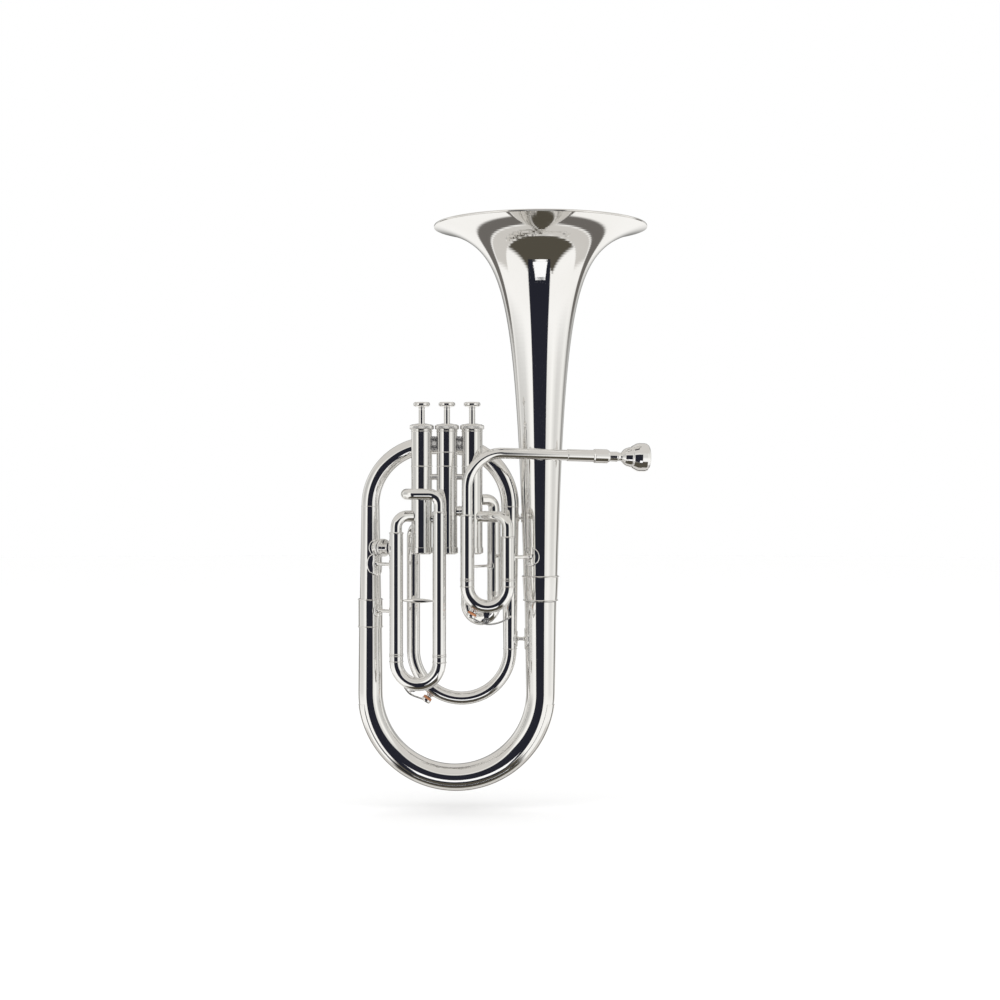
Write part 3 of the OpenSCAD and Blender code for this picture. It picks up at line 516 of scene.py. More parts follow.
def inner_bow_line():
    low, high, _ = box_of("inner_bow")
    left = Vector((low.x + INNER_BOW_R, 0, 0))
    bottom = low.z + INNER_BOW_R
    bend = (INNER.x - left.x) / 2
    return left, bottom, bend, high.z - INNER_BOW_R


def make_inner_bow():
    left, bottom, bend, exit_z = inner_bow_line()
    valve = at_z(CASINGS[2], exit_z)
    stop = valve + (at_z(left, exit_z) - valve).normalized() * PORT_STOP
    piece("inner_bow_tube", bent_tube([at_z(INNER, bottom + bend), at_z(INNER, bottom), at_z(left, bottom),
                                       at_z(left, exit_z), stop], [bend, bend, 11 * MM], INNER_BOW_R),
          "horn", SILVER, ["inner_bow"])


# ------------------------------------------------------------------ valves
def make_valves():
    for i, axis in enumerate(CASINGS, 1):
        low, high, _ = box_of(f"valve_casing_{i}")
        heights = [352, 367, 389.6] if i == 2 else [352, 389.6]
        rings = [(z * MM, 0.6 * MM) for z in heights]
        piece(f"casing_{i}_tube", upright_tube(axis, low.z, high.z, CASING_R, CASING_R, 1.08 * MM, rings),
              "horn", SILVER, [f"valve_casing_{i}"])
        make_valve_top(i, axis)
        make_valve_spring(i, axis)
    replaced = [["top_caps"], [], []]
    for i, axis in enumerate(CASINGS, 1):
        line = straight(at_z(axis, 0), at_z(axis, 1))
        cap = [(393.82, 3.4), (393.82, 11.12), (391.6, 11.12), (391.6, 12.5), (392.2, 12.95), (395.3, 12.95),
               (396.0, 12.6), (396.9, 10.6), (397.1, 8.8), (397.5, 7.0), (397.8, 5.4), (397.8, 3.4)]
        outline = soften([(z * MM, r * MM) for z, r in cap], 0.35 * MM)
        piece(f"top_cap_{i}", turned(line, outline, sides=288, flutes=(72, 0.28 * MM, 0.3923, 0.3952)),
              "horn", SILVER, replaced[i - 1])
        base = box_of("bottom_caps")[0].z / MM
        foot = [(base, 0), (base, 6.6), (base + 0.4, 10.4), (base + 1.8, 11.9), (base + 7.6, 11.9),
                (base + 7.6, 11.14), (base + 2.3, 11.14), (base + 2.3, 9.8), (base + 1.6, 9.8),
                (base + 1.6, 0)]
        outline = soften([(z * MM, r * MM) for z, r in foot], 0.4 * MM, closed=False)
        piece(f"bottom_cap_{i}", turned(line, outline, closed=False, sides=240,
                                        flutes=(60, 0.25 * MM, (base + 3) * MM, (base + 6.6) * MM)),
              "horn", SILVER, ["bottom_caps"] if i == 1 else [])


def make_valve_top(i, axis):
    """Stem and finger button, which ride on the piston."""
    line = straight(at_z(axis, 0), at_z(axis, 1))
    low, high, _ = box_of(f"stem_{i}")
    r = (high.x - low.x) / 2
    top = BUTTON_LOW
    stem = [(low.z, 0), (low.z, 2.5 * MM), (388.05 * MM, 2.5 * MM), (388.05 * MM, r), (top - 3 * MM, r),
            (top - 2.4 * MM, r - 0.25 * MM), (top - 1.6 * MM, r), (top, r), (top, 0)]
    piece(f"stem_{i}_rod", turned(line, soften(stem, 0.2 * MM, closed=False), closed=False),
          f"valve_{i}", SILVER, [f"stem_{i}"])
    low, high, _ = box_of(f"button_{i}")
    r = (high.x - low.x) / 2
    wide = r / MM
    profile = [(0.02, 0), (0.02, 4.2), (0.5, 0.6 * wide), (1.1, 0.9 * wide), (2.1, wide), (4, wide),
               (5, 0.95 * wide), (5.6, 0.82 * wide), (5.4, 0.72 * wide), (5.7, 0.4 * wide), (5.9, 0)]
    outline = soften([(low.z + z * MM, rr * MM) for z, rr in profile], 0.5 * MM, closed=False, steps=4)
    piece(f"button_{i}_top", turned(line, outline, closed=False, sides=96),
          f"valve_{i}", SILVER, [f"button_{i}"])


def make_valve_spring(i, axis):
    """Return spring that stands on the guide and rides on the valve."""
    turns, per_turn, coil_r, wire_r = 7, 32, 6.6 * MM, 0.5 * MM
    foot, rise, stroke = 352.2 * MM, 32.2 * MM, 16.5 * MM
    rows = []
    for k in range(turns * per_turn + 1):
        a = 2 * math.pi * k / per_turn
        out = Vector((math.cos(a), math.sin(a), 0))
        centre = at_z(axis, foot + rise * k / (turns * per_turn)) + coil_r * out
        rows.append([centre + wire_r * (math.cos(b) * out + Vector((0, 0, math.sin(b))))
                     for b in (2 * math.pi * j / 10 for j in range(10))])
    verts, faces = grid(rows, closed_columns=True)
    last = len(verts) - 10
    faces += [tuple(range(9, -1, -1)), tuple(range(last, last + 10))]
    coil = piece(f"valve_{i}_coil", [(verts, faces)], f"valve_{i}", STEEL, [f"spring_{i}"])
    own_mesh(coil)


def make_valve_links():
    tubes = []
    r = 5.4 * MM
    for i, z in ((0, 304 * MM), (1, 296 * MM)):
        a, b = at_z(CASINGS[i + 1], z), at_z(CASINGS[i], z)
        ahead = (b - a).normalized() * PORT_STOP
        line = straight(a + ahead, b - ahead)
        middle = line.length / 2
        tubes.append(turned(line, skin(0, line.length, r, r, WALL, [(middle, 0.5 * MM)])))
    piece("valve_knuckle_tubes", tubes, "horn", SILVER, ["valve_knuckles"])
    bevelled("casing_plate_pair", "casing_plates", "horn", SATIN, 0.35 * MM)
    bevelled("plate_screw_heads", "plate_screws", "horn", STEEL, 0.12 * MM)


# ------------------------------------------------------------------ leadpipe, receiver, mouthpiece
def pipe_direction():
    """The leadpipe slopes down a little and turns back past the bell."""
    slope, turn = math.radians(1.4), math.radians(12.5)
    return Vector((math.cos(slope) * math.cos(turn), math.cos(slope) * math.sin(turn), -math.sin(slope)))


def make_leadpipe():
    along = pipe_direction()
    corner = at_z(TUNING[0], LEADPIPE_Z)
    mouth = corner + along * RECEIVER_RUN
    end = mouth - along * SHANK_LEN
    low = box_of("leadpipe")[0].z
    piece("leadpipe_tube", bent_tube([end, corner, at_z(TUNING[0], low)], [LEADPIPE_BEND], LEADPIPE_R),
          "horn", SILVER, ["leadpipe"])
    line = straight(mouth, mouth + along)
    receiver = [(-20.98, 4.72), (-20.98, 5.82), (-47, 5.82), (-47, 6.2), (-46.5, 6.5), (-18, 6.5),
                (-16.6, 7.6), (-2.6, 7.6), (-0.4, 6.3), (0, 5.8), (0, 5.26)]
    outline = soften([(s * MM, r * MM) for s, r in receiver], 0.3 * MM)
    piece("receiver_collar", turned(line, outline, sides=72), "horn", SILVER, ["mouthpiece_receiver"])
    r = MOUTHPIECE_R
    outside = [(-20.9, 4.1), (-20.9, 4.65), (0.05, 5.2), (7.6, 5.5), (8.6, 5.5), (9.4, 4.9), (12, 4.5),
               (13.6, 4.8), (14.8, 6.3), (16.6, 8.3), (19, 9.7), (22, 10.6), (23.6, 10.9), (24.4, 10.7),
               (25.6, 12.2), (28, r - 2), (30.6, r - 0.6), (33.4, r), (39.4, r), (41.4, r - 0.5),
               (43, r - 1.7), (43.5, r - 3), (42.8, r - 4)]
    cup = [(41, r - 4.6), (36, r - 5.2), (30, r - 7), (25, 6), (20.5, 3.6), (17, 2.9), (12, 2.9), (4, 3.2)]
    outline = soften([(s * MM, rr * MM) for s, rr in outside + cup], 1.2 * MM, steps=5)
    piece("mouthpiece_body", turned(line, outline, sides=128),
          "mouthpiece", SILVER, ["mouthpiece"], crease=50)


# ------------------------------------------------------------------ slides
def outer_tube(axis, seam, top):
    rings = [(seam + 0.9 * MM, 0.6 * MM)]
    body = upright_tube(axis, seam, top - 1 * MM, OUTER_R, OUTER_R, OUTER_R - BORE_R - 0.001 * MM, rings)
    line = straight(at_z(axis, top - 2 * MM), at_z(axis, top))
    length = line.length
    collar = [(0, BORE_R + 0.1 * MM), (0, OUTER_R)] + ring_arc(0.9 * MM, OUTER_R, 0.7 * MM) + [
        (length - 0.2 * MM, OUTER_R - 0.1 * MM), (length, PORT_R + 0.3 * MM), (length, PORT_R - 0.1 * MM),
        (length - 0.8 * MM, PORT_R - 0.1 * MM), (length - 0.8 * MM, BORE_R + 0.1 * MM)]
    return [body, turned(line, collar)]


def port_tube(axis, z0, valve, z, bend):
    """From the top of a slide tube up, round and into a valve casing's wall."""
    hub = at_z(valve, z)
    corner = at_z(axis, z)
    stop = hub + (corner - hub).normalized() * PORT_STOP
    return bent_tube([at_z(axis, z0), corner, stop], [bend], PORT_R)


def crook(legs, seam, bow_z):
    """U-shaped bow with a ring at each end of its curve and of its sleeves."""
    a, b = legs
    bend = (b - a).length / 2
    joint = seam - SEAM
    low = bow_z - bend
    route = Route([at_z(a, joint), at_z(a, low), at_z(b, low), at_z(b, joint)], [bend, bend])
    edge = joint - bow_z
    size = 0.6 * MM
    rings = [(0.9 * MM, size), (edge, size), (route.length - edge, size), (route.length - 0.9 * MM, size)]
    return turned(route, skin(0, route.length, OUTER_R, OUTER_R, OUTER_R - INNER_R + WALL, rings))


def inner_legs(legs, seam, tops):
    return [upright_tube(axis, seam - 2 * MM, top, INNER_R, INNER_R, WALL) for axis, top in zip(legs, tops)]


def make_slides():
    valve_1, valve_2, valve_3 = CASINGS
    tuning_tops, first_tops, third_tops = (300.7, 277.6), (272, 302), (281.7, 303.8)
    for name, legs, seam, tops in (("tuning", TUNING, TUNING_SEAM, tuning_tops),
                                   ("first", FIRST, FIRST_SEAM, first_tops),
                                   ("third", THIRD, THIRD_SEAM, third_tops)):
        shapes = outer_tube(legs[0], seam, tops[0] * MM) + outer_tube(legs[1], seam, tops[1] * MM)
        piece(f"{name}_outer_pair", shapes, "horn", SILVER, [f"{name}_outer_tubes"])

    piece("tuning_port", port_tube(TUNING[1], 276.5 * MM, valve_1, 298.2 * MM, 12 * MM),
          "horn", SILVER, ["tuning_port_tube"])
    piece("first_ports", [port_tube(FIRST[0], 270.9 * MM, valve_1, 285 * MM, 7.5 * MM),
                          port_tube(FIRST[1], 300.9 * MM, valve_1, 316.3 * MM, 9 * MM)],
          "horn", SILVER, ["first_port_tubes"])
    left_x, z = -51.5 * MM, 322 * MM
    front = THIRD[1].y
    over = bent_tube([at_z(THIRD[1], 302.7 * MM), at_z(THIRD[1], z), (left_x, front, z),
                      (left_x, valve_3.y, z), (valve_3.x - PORT_STOP, valve_3.y, z)],
                     [11 * MM, 9.5 * MM, 9.5 * MM], PORT_R)
    piece("third_ports", [port_tube(THIRD[0], 280.6 * MM, valve_3, 298.8 * MM, 12 * MM), over],
          "horn", SILVER, ["third_port_tubes"])

    piece("tuning_bow", crook(TUNING, TUNING_SEAM, TUNING_BOW_Z), "tuning_slide", SILVER, ["tuning_crook"])
    piece("tuning_legs", inner_legs(TUNING, TUNING_SEAM, (296 * MM, 274 * MM)), "tuning_slide", DRAWN)
    piece("first_bow", crook(FIRST, FIRST_SEAM, FIRST_BOW_Z), "first_slide", SILVER, ["first_crook"])
    piece("first_legs", inner_legs(FIRST, FIRST_SEAM, (268 * MM, 298 * MM)), "first_slide", DRAWN)
    piece("third_bow", crook(THIRD, THIRD_SEAM, THIRD_BOW_Z), "third_slide", SILVER, ["third_crook"])
    piece("third_legs", inner_legs(THIRD, THIRD_SEAM, (270 * MM, 290 * MM)), "third_slide", DRAWN)
    make_second_slide(valve_2)


def make_second_slide(valve):
    """Short slide behind the middle valve, which pulls straight back."""
    seam = box_of("second_outer_tubes")[1].y
    low, high, _ = box_of("second_crook")
    z_low, z_high = low.z + OUTER_R, high.z - OUTER_R
    bend = (z_high - z_low) / 2
    back = Vector((0, 1, 0))
    outer, inner = [], []
    for z in (z_low, z_high):
        start = at_z(valve, z)
        line = straight(start + back * PORT_STOP, Vector((valve.x, seam, z)))
        neck = line.length - 15 * MM
        outline = [(0, PORT_R), (neck, PORT_R), (neck + 0.6 * MM, OUTER_R - 0.1 * MM)]
        outline += ring_arc(neck + 1.5 * MM, OUTER_R, 0.6 * MM)
        outline += ring_arc(line.length - 0.9 * MM, OUTER_R, 0.6 * MM)
        outline += [(line.length, OUTER_R), (line.length, BORE_R), (neck + 1.5 * MM, BORE_R),
                    (neck + 1.5 * MM, PORT_R - WALL), (0, PORT_R - WALL)]
        outer.append(turned(line, outline))
        legs = straight(Vector((valve.x, -4 * MM, z)), Vector((valve.x, seam + 2 * MM, z)))
        inner.append(turned(legs, skin(0, legs.length, INNER_R, INNER_R, WALL)))
    piece("second_outer_pair", outer, "horn", SILVER, ["second_outer_tubes"])
    joint, far = seam + SEAM, 13 * MM + bend
    x = valve.x
    route = Route([(x, joint, z_high), (x, far, z_high), (x, far, z_low), (x, joint, z_low)], [bend, bend])
    rings = [(0.9 * MM, 0.6 * MM), (route.length - 0.9 * MM, 0.6 * MM)]
    piece("second_bow", turned(route, skin(0, route.length, OUTER_R, OUTER_R, OUTER_R - INNER_R + WALL, rings)),
          "second_slide", SILVER, ["second_crook"])
    piece("second_legs", inner, "second_slide", DRAWN)


# ------------------------------------------------------------------ braces
def foot(axis, heading, z, radius_at, size, thick=0.9 * MM):
    """Round flange wrapped on an upright tube, facing a heading."""
    around = Vector((-heading.y, heading.x, 0))
    rims = [(0.0, 1), (0.5, 1), (0.86, 1), (0.95, 0.86), (1.0, 0.5), (1.02, -0.2)]
    sides, rows = 56, []
    for share, height in rims:
        row = []
        for k in range(sides):
            a = 2 * math.pi * k / sides
            up = size * share * math.sin(a)
            r = radius_at(z + up)
            bearing = size * share * math.cos(a) / r
            reach = r + thick * height
            row.append(Vector((axis.x, axis.y, z + up)) + reach * (
                math.cos(bearing) * heading + math.sin(bearing) * around))
        rows.append(row)
    return grid(rows, closed_columns=True)


def post(a, b, r, flare_a, flare_b, waist=0.0):
    """Turned rod from a to b, widening into its feet, with a small collar in the middle."""
    line = straight(a, b)
    n = line.length
    run = min(3.2 * MM, 0.3 * n)
    outline = [(0, 0), (0, flare_a)]
    for k in range(1, 7):
        t = k / 6
        outline.append((run * t, r + (flare_a - r) * (1 - t) ** 2.2))
    if waist:
        outline += ring_arc(n / 2 - 1.3 * MM, r, 0.5 * MM, 6) + ring_arc(n / 2, r, waist, 8)
        outline += ring_arc(n / 2 + 1.3 * MM, r, 0.5 * MM, 6)
    for k in range(1, 7):
        t = k / 6
        outline.append((n - run * (1 - t), r + (flare_b - r) * t ** 2.2))
    outline.append((n, 0))
    return turned(line, outline, closed=False, sides=40)


def brace(a, r_a, b, r_b, z, rod, foot_a, foot_b, waist=0.0):
    """Two feet and a turned rod between upright tubes; r_a and r_b are radii or functions of height."""
    heading = (b - a).normalized()
    radius_a = r_a if callable(r_a) else lambda _: r_a
    radius_b = r_b if callable(r_b) else lambda _: r_b
    start = at_z(a, z) + heading * (radius_a(z) + 0.3 * MM)
    stop = at_z(b, z) - heading * (radius_b(z) + 0.3 * MM)
    return [foot(a, heading, z, radius_a, foot_a), foot(b, -heading, z, radius_b, foot_b),
            post(start, stop, rod, rod * 1.9, rod * 1.9, waist)]


def make_braces():
    bow_leg_r = 16.75 * MM
    shapes = brace(BELL, bell_radius, TUNING[1], OUTER_R, 255 * MM, 1.9 * MM, 10.5 * MM, 6 * MM)
    shapes += brace(INNER, 7.55 * MM, BELL, bow_leg_r, 165.5 * MM, 1.9 * MM, 8.4 * MM, 11.5 * MM)
    shapes += brace(INNER, 9.35 * MM, BELL, bell_radius, 296.5 * MM, 1.6 * MM, 4 * MM, 5 * MM)
    piece("bell_brace_set", shapes, "horn", SILVER, ["bell_braces"], crease=50)

    left = THIRD[0]
    shapes = brace(BRANCH, 11.62 * MM, left, OUTER_R, 247 * MM, 1.8 * MM, 12.4 * MM, 6 * MM)
    shapes += brace(BRANCH, 13.1 * MM, left, OUTER_R, 196.7 * MM, 1.8 * MM, 7 * MM, 6 * MM)
    shapes += brace(BRANCH, 11.3 * MM, left, OUTER_R, 264.6 * MM, 4.2 * MM, 9.6 * MM, 10 * MM)
    heading = (left - BRANCH).normalized()
    line = straight(at_z(BRANCH, 264.6 * MM), at_z(BRANCH, 264.6 * MM) + heading)
    for place in (17.2 * MM, 21 * MM):
        disc = [(place, 4 * MM), (place, 9.6 * MM), (place + 2.6 * MM, 9.6 * MM), (place + 2.6 * MM, 4 * MM)]
        shapes.append(turned(line, soften(disc, 0.6 * MM, steps=4), sides=160,
                             flutes=(40, 0.2 * MM, place, place + 3 * MM)))
    piece("branch_brace_set", shapes, "horn", SILVER, ["branch_braces"], crease=50)

    a, b = THIRD
    heading = (b - a).normalized()
    z = 208.7 * MM
    line = straight(at_z(a, z) + heading * (OUTER_R - 0.2 * MM), at_z(b, z) - heading * (OUTER_R - 0.2 * MM))
    outline = [(0, 0)]
    for k in range(25):
        t = 2 * k / 24 - 1
        outline.append((line.length * k / 24, 2.4 * MM * (1 - 0.72 * t * t)))
    outline.append((line.length, 0))
    shapes = [turned(line, outline, closed=False, sides=40)]
    shapes += brace(TUNING[0], OUTER_R, FIRST[1], OUTER_R, 245.3 * MM, 1.5 * MM, 4.5 * MM, 4.5 * MM)
    piece("slide_brace_set", shapes, "horn", SILVER, ["slide_braces"], crease=50)

    z = box_of("leadpipe_brace")[2].z
    along = pipe_direction()
    pipe_y = TUNING[0].y + (BELL.x - TUNING[0].x) * along.y / along.x
    pipe_back = Vector((BELL.x, pipe_y + LEADPIPE_R - 0.2 * MM, z))
    bell_front = Vector((BELL.x, -bell_radius(z) - 0.2 * MM, z))
    shapes = [foot(BELL, Vector((0, -1, 0)), z, lambda h: bell_radius(h) + 0.1 * MM, 6 * MM),
              post(pipe_back, bell_front, 3.6 * MM, 4.2 * MM, 4.4 * MM)]
    piece("leadpipe_post", shapes, "horn", SILVER, ["leadpipe_brace"], crease=50)


# ------------------------------------------------------------------ water keys
PIVOT_H, CORK_H = 7.5 * MM, 3.1 * MM


class WaterKey:
    """A lever bent round a bow: heights are measured outward from the bow's surface."""

    def __init__(self, centre, surface_r, cork, pivot, tip, arm_h):
        self.centre, self.surface_r, self.arm_h = Vector(centre), surface_r, arm_h
        self.cork, self.pivot, self.tip = (math.radians(a) for a in (cork, pivot, tip))

    def out(self, a):
        return Vector((math.sin(a), 0, -math.cos(a)))

    def at(self, a, h):
        return self.centre + (self.surface_r + h) * self.out(a)

    def arm_height(self, t):
        s = min(1, t / 0.5)
        start = CORK_H + 6 * MM
        return start + (self.arm_h - start) * s * s * (3 - 2 * s)


def lever_band(key):
    """Rounded strap from the cork cup to the finger tip, widening at the tip."""
    steps, around, thick = 60, 24, 1.9 * MM
    rows = []
    for i in range(steps + 1):
        t = i / steps
        a = key.cork + (key.tip - key.cork) * t
        middle = key.at(a, key.arm_height(t) - thick / 2)
        ends = min(1, math.sqrt(max(0, min(t, 1 - t)) * 40))
        half = (2.2 * MM + 1.9 * MM * max(0, (t - 0.72) / 0.28) ** 1.5) * max(ends, 0.02)
        row = []
        for k in range(around):
            c, s = math.cos(2 * math.pi * k / around), math.sin(2 * math.pi * k / around)
            flat = math.copysign(abs(c) ** 0.45, c) * half
            tall = math.copysign(abs(s) ** 0.5, s) * thick / 2 * max(ends, 0.02)
            row.append(middle + Vector((0, flat, 0)) + tall * key.out(a))
        rows.append(row)
    verts, faces = grid(rows, closed_columns=True)
    last = steps * around
    faces.append(tuple(range(around - 1, -1, -1)))
    faces.append(tuple(range(last, last + around)))
    return verts, faces


def make_key(number, key, lever_body, saddle_body):
    hub = key.at(key.pivot, PIVOT_H)
    across = Vector((0, 1, 0))
    cup_low, cup_high = key.at(key.cork, CORK_H + 2.2 * MM), key.at(key.cork, CORK_H + 6.6 * MM)
    line = straight(cup_low, cup_high)
    cup = [(0, 4.85), (0, 5.3), (2.2, 5.3), (3.4, 4.9), (4.0, 3.4), (4.4, 0)]
    wall = [(1.8, 0), (1.8, 4.85)]
    outline = soften([(s * MM, r * MM) for s, r in wall + cup], 0.5 * MM, closed=False)
    barrel = straight(hub - across * 2.6 * MM, hub + across * 2.6 * MM)
    sleeve = soften(skin(0, 5.2 * MM, 2.3 * MM, 2.3 * MM, 1.15 * MM), 0.2 * MM)
    web_t = (key.pivot - key.cork) / (key.tip - key.cork)
    web = straight(hub + key.out(key.pivot) * 1.6 * MM, key.at(key.pivot, key.arm_height(web_t) - 0.95 * MM))
    stalk = [(0, 0), (0, 1.9 * MM), (web.length * 0.5, 1.3 * MM), (web.length, 2.0 * MM), (web.length, 0)]
    shapes = [lever_band(key), turned(line, outline, closed=False, sides=48),
              turned(barrel, sleeve, sides=40),
              turned(web, stalk, closed=False, sides=32)]
    piece(f"key_{number}_arm", shapes, lever_body, SILVER, [f"key_{number}_lever"], crease=45)

    line = straight(key.at(key.cork, CORK_H), key.at(key.cork, CORK_H + 3.95 * MM))
    pad = soften([(0, 0), (0, 4.8 * MM), (3.95 * MM, 4.8 * MM), (3.95 * MM, 0)], 0.5 * MM, closed=False)
    piece(f"key_{number}_pad", turned(line, pad, closed=False, sides=48), lever_body, CORK,
          [f"key_{number}_cork"])

    # saddle: two ears on the bow, and the drain nipple under the cork
    ears = []
    base = key.at(key.pivot, -0.8 * MM)
    for side in (-1, 1):
        outline = [(-3.4, 0), (3.4, 0), (2.6, PIVOT_H / MM * 0.6)]
        outline += [(2.6 * math.cos(math.radians(d)), PIVOT_H / MM + 0.8 + 2.6 * math.sin(math.radians(d)))
                    for d in range(0, 181, 15)]
        outline += [(-2.6, PIVOT_H / MM * 0.6)]
        tangent = across.cross(key.out(key.pivot))
        rows = []
        for offset, inset in ((2.75, 0.9), (2.85, 1.0), (3.95, 1.0), (4.05, 0.9)):
            rows.append([base + across * side * offset * MM + tangent * u * inset * MM
                         + key.out(key.pivot) * v * (inset if v > 1 else 1) * MM for u, v in outline])
        verts, faces = grid(rows, closed_columns=True)
        count = len(outline)
        faces += [tuple(range(count - 1, -1, -1)), tuple(range(3 * count, 4 * count))]
        ears.append((verts, faces))
    line = straight(key.at(key.cork, -1 * MM), key.at(key.cork, 2.7 * MM))
    nipple = [(0, 2), (0, 4.4), (1.0, 4.2), (1.6, 3.1), (3.7, 2.9), (3.7, 2)]
    outline = soften([(s * MM, r * MM) for s, r in nipple], 0.3 * MM)
    piece(f"key_{number}_mount", ears + [turned(line, outline, sides=48)], saddle_body, SILVER,
          [f"key_{number}_saddle"], crease=40)
    bevelled(f"key_{number}_screw", f"key_{number}_pivot", saddle_body, STEEL, 0.15 * MM)
    make_key_spring(number, key, hub, saddle_body)


def make_key_spring(number, key, hub, body):
    """Coils of wire round the pivot on both sides of the hub."""
    out, across = key.out(key.pivot), Vector((0, 1, 0))
    tangent = across.cross(out)
    shapes = []
    for side in (-1, 1):
        points = []
        turns, per_turn = 1.6, 20
        for k in range(int(turns * per_turn) + 1):
            a = 2 * math.pi * k / per_turn
            points.append(hub + across * side * (4.45 + 0.35 * a / math.pi / 2) * MM
                          + 2.75 * MM * (math.cos(a) * out + math.sin(a) * tangent))
        rows = []
        for k, point in enumerate(points):
            ahead = (points[min(k + 1, len(points) - 1)] - points[max(k - 1, 0)]).normalized()
            first = ahead.cross(across).normalized()
            second = ahead.cross(first)
            rows.append([point + 0.32 * MM * (math.cos(b) * first + math.sin(b) * second)
                         for b in (2 * math.pi * j / 10 for j in range(10))])
        verts, faces = grid(rows, closed_columns=True)
        last = len(verts) - 10
        faces += [tuple(range(9, -1, -1)), tuple(range(last, last + 10))]
        shapes.append((verts, faces))
    piece(f"key_{number}_coils", shapes, body, STEEL, [f"key_{number}_spring"])


def make_keys():
    a, b = TUNING
    bend = (b.x - a.x) / 2
    key_1 = WaterKey(((a.x + b.x) / 2, a.y, TUNING_BOW_Z), bend + OUTER_R, -29.4, -1.7, 40, 12.4 * MM)
    make_key(1, key_1, "key_1", "tuning_slide")
    left, bottom, bend, _ = inner_bow_line()
    centre = ((left.x + INNER.x) / 2, 0, bottom + bend)
    key_2 = WaterKey(centre, bend + INNER_BOW_R, -35.4, -51, -70, 15.5 * MM)
    make_key(2, key_2, "key_2", "horn")


# ------------------------------------------------------------------ hidden CAD nodes that stay
def dress_cad_nodes():
    """Pistons, guides and felts keep their CAD shapes inside the casings."""
    wanted = {"cap_felts": FELT, "piston_guides": STEEL}
    for i in (1, 2, 3):
        wanted[f"piston_{i}"] = NICKEL
    for name, material in wanted.items():
        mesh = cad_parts[name].data
        mesh.materials.clear()
        mesh.materials.append(material)


# ------------------------------------------------------------------ studio
def make_floor():
    mesh = bpy.data.meshes.new("studio_floor")
    work = bmesh.new()
    bmesh.ops.create_circle(work, cap_ends=True, radius=9, segments=96)
    work.to_mesh(mesh)
    work.free()
    material = bpy.data.materials.new("pale_floor")
    tree, shader = node_tree(material)
    shader.inputs["Roughness"].default_value = 0.9
    shader.inputs["Specular IOR Level"].default_value = 0.1
    grain = noise(tree, 40, 3)
    tree.links.new(tint(tree, grain, (0.95, 0.95, 0.95), (0.97, 0.97, 0.97)), shader.inputs["Base Color"])
    shader.inputs["Emission Color"].default_value = (1, 1, 1, 1)
    shader.inputs["Emission Strength"].default_value = 0.05
    mesh.materials.append(material)
    floor = bpy.data.objects.new("studio_floor", mesh)
    bpy.context.scene.collection.objects.link(floor)
    floor.location.z = -0.02
    floor.visible_glossy = False


# Brightness of the studio's walls, by bearing in degrees from straight ahead of the horn
WALL_TONES = [(-180, 0.20), (-153, 0.34), (-138, 0.78), (-120, 0.82), (-106, 0.55), (-88, 0.53), (-70, 0.54),
              (-52, 0.95), (-38, 1.0), (30, 0.68), (36, 0.77), (51, 1.0), (60, 0.78), (74, 0.54), (89, 0.62),
              (106, 0.88), (121, 0.63), (134, 0.29), (150, 0.5), (180, 0.20)]


class WorldNodes:
    """Builds the studio that the silver mirrors: tones by direction, with soft-edged patches over them."""

    def __init__(self, tree):
        self.tree = tree
        where = tree.nodes.new("ShaderNodeTexCoord")
        split = tree.nodes.new("ShaderNodeSeparateXYZ")
        tree.links.new(where.outputs["Generated"], split.inputs["Vector"])
        x, y, z = (split.outputs[axis] for axis in "XYZ")
        ahead = self.math("MULTIPLY", y, -1)
        self.bearing = self.math("ARCTAN2", x, ahead)
        self.rise = self.math("ARCSINE", z)
        self.spread = self.math("ARCCOSINE", ahead)
        self.clock = self.math("ARCTAN2", x, self.math("MULTIPLY", z, -1))

    def math(self, operation, first, second=None):
        node = self.tree.nodes.new("ShaderNodeMath")
        node.operation = operation
        for socket, value in zip(node.inputs, (first, second)):
            if isinstance(value, (int, float)):
                socket.default_value = value
            elif value is not None:
                self.tree.links.new(value, socket)
        return node.outputs[0]

    def window(self, value, start, stop, soft):
        """1 from start to stop degrees, falling to 0 over soft degrees outside them."""
        middle, half = math.radians(start + stop) / 2, math.radians(stop - start) / 2
        gap = self.math("ABSOLUTE", self.math("SUBTRACT", value, middle))
        node = self.tree.nodes.new("ShaderNodeMapRange")
        node.interpolation_type = "SMOOTHSTEP"
        node.inputs["From Min"].default_value = half
        node.inputs["From Max"].default_value = half + math.radians(soft)
        node.inputs["To Min"].default_value = 1
        node.inputs["To Max"].default_value = 0
        self.tree.links.new(gap, node.inputs["Value"])
        return node.outputs["Result"]

    def walls(self):
        ramp = self.tree.nodes.new("ShaderNodeValToRGB")
        share = self.math("ADD", self.math("MULTIPLY", self.bearing, 0.5 / math.pi), 0.5)
        self.tree.links.new(share, ramp.inputs["Fac"])
        stops = ramp.color_ramp.elements
        for bearing, tone in WALL_TONES[1:-1]:
            stops.new((bearing + 180) / 360)
        for stop, (bearing, tone) in zip(stops, WALL_TONES):
            stop.color = (tone, 0.99 * tone, 0.955 * tone, 1)
        return ramp.outputs["Color"]

    def over(self, below, mask, colour):
        mix = self.tree.nodes.new("ShaderNodeMix")
        mix.data_type = "RGBA"
        self.tree.links.new(mask, mix.inputs["Factor"])
        for socket, value in (("A", below), ("B", colour)):
            if isinstance(value, tuple):
                mix.inputs[socket].default_value = (*value, 1)
            else:
                self.tree.links.new(value, mix.inputs[socket])
        return mix.outputs["Result"]


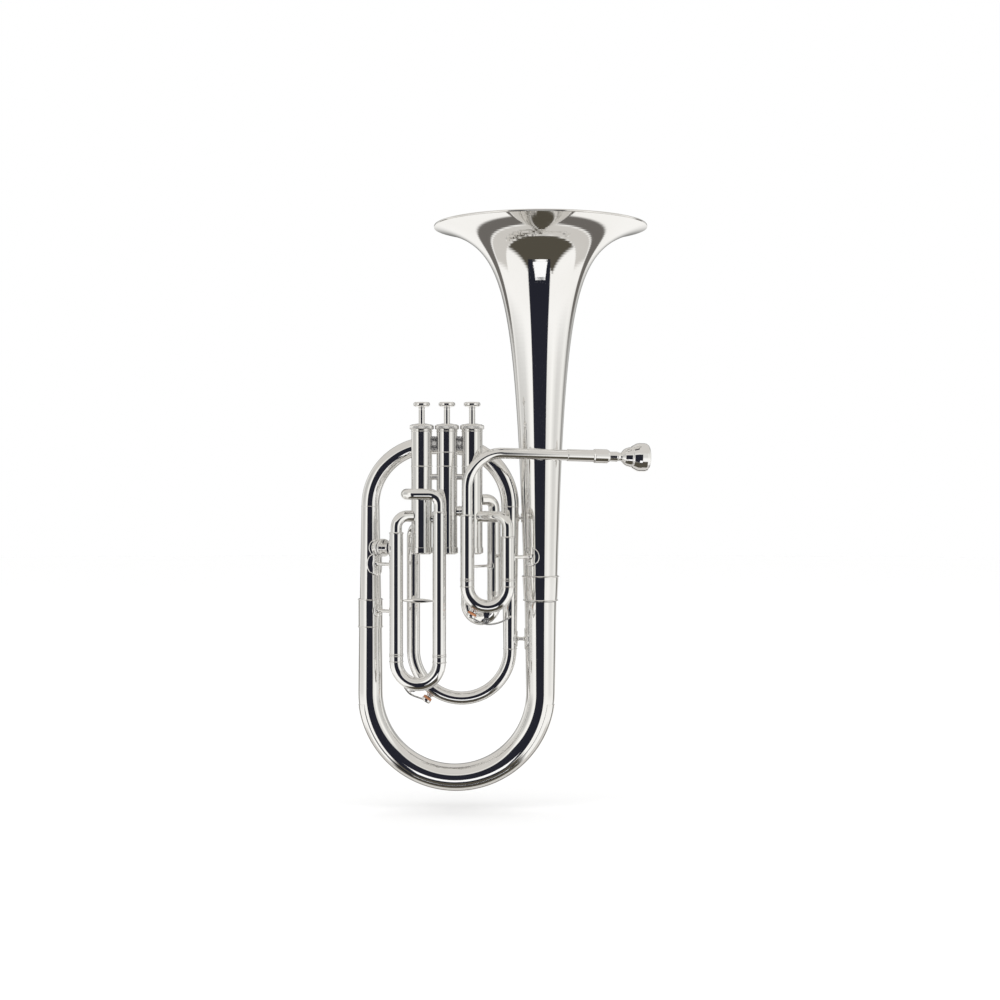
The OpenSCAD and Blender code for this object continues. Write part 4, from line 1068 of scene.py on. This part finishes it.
def make_world():
    """White to the camera and to matt surfaces; a studio of panels and openings to the silver."""
    world = bpy.data.worlds.new("studio")
    bpy.context.scene.world = world
    world.use_nodes = True
    tree = world.node_tree
    nodes = WorldNodes(tree)
    colour = nodes.walls()
    # a warm grey ceiling, and pale ground under everything
    colour = nodes.over(colour, nodes.window(nodes.rise, 34, 90, 12), (0.64, 0.62, 0.59))
    colour = nodes.over(colour, nodes.window(nodes.rise, -90, -14, 18), (0.96, 0.95, 0.93))
    # a dark floor in front, a pale strip and a dark edge behind: (start, stop, softness, half-width, shade)
    for start, stop, soft, side, shade in ((46, 92, 3, 35, (0.085, 0.076, 0.058)),
                                           (96, 118, 3, 60, (0.62, 0.60, 0.57)),
                                           (124, 138, 4, 85, (0.15, 0.14, 0.13))):
        band = nodes.math("MULTIPLY", nodes.window(nodes.clock, -side, side, 8),
                          nodes.window(nodes.spread, start, stop, soft))
        colour = nodes.over(colour, band, shade)
    # the dark opening that the camera looks through
    opening = nodes.math("MULTIPLY", nodes.window(nodes.bearing, -35, 25, 2.5),
                         nodes.window(nodes.rise, -46, 20, 4))
    colour = nodes.over(colour, opening, (0.018, 0.019, 0.028))
    rays = tree.nodes.new("ShaderNodeLightPath")
    colour = nodes.over((1.0, 1.0, 1.0), rays.outputs["Is Glossy Ray"], colour)
    tree.links.new(colour, tree.nodes["Background"].inputs["Color"])


def make_lights():
    """Two softboxes that only matt surfaces see, and a low card in front that the silver mirrors."""
    lamps = (("left_softbox", (-1.9, -1.3, 1.7), (1.6, 1.6), 9, False),
             ("right_softbox", (2.1, -1.2, 1.5), (1.6, 1.6), 8, False),
             ("front_card", (0.02, -1.98, -0.99), (1.2, 0.873), 3.4, True))
    for name, place, size, power, mirrored in lamps:
        light = bpy.data.lights.new(name, "AREA")
        light.shape = "RECTANGLE"
        light.size, light.size_y = size
        light.energy = power
        lamp = bpy.data.objects.new(name, light)
        lamp.location = place
        toward = Vector((0, 0.344, 0.939)) if mirrored else Vector((0.05, 0, 0.3)) - Vector(place)
        lamp.rotation_euler = toward.to_track_quat("-Z", "Y").to_euler()
        lamp.visible_camera = False
        lamp.visible_glossy = mirrored
        bpy.context.scene.collection.objects.link(lamp)


def make_camera():
    camera = bpy.data.cameras.new("camera")
    distance, width = 1.95, 1.085
    camera.sensor_width = 36
    camera.lens = camera.sensor_width * distance / width
    holder = bpy.data.objects.new("camera", camera)
    holder.location = (0.0483, -distance, 0.316)
    holder.rotation_euler = (math.radians(90), 0, 0)
    bpy.context.scene.collection.objects.link(holder)
    bpy.context.scene.camera = holder
    bpy.context.scene.view_settings.view_transform = "Standard"


make_camera()
make_world()
make_lights()
make_floor()
make_bell()
make_bottom_bow()
make_large_tubes()
make_inner_bow()
make_valves()
make_valve_links()
make_leadpipe()
make_slides()
make_braces()
make_keys()
dress_cad_nodes()
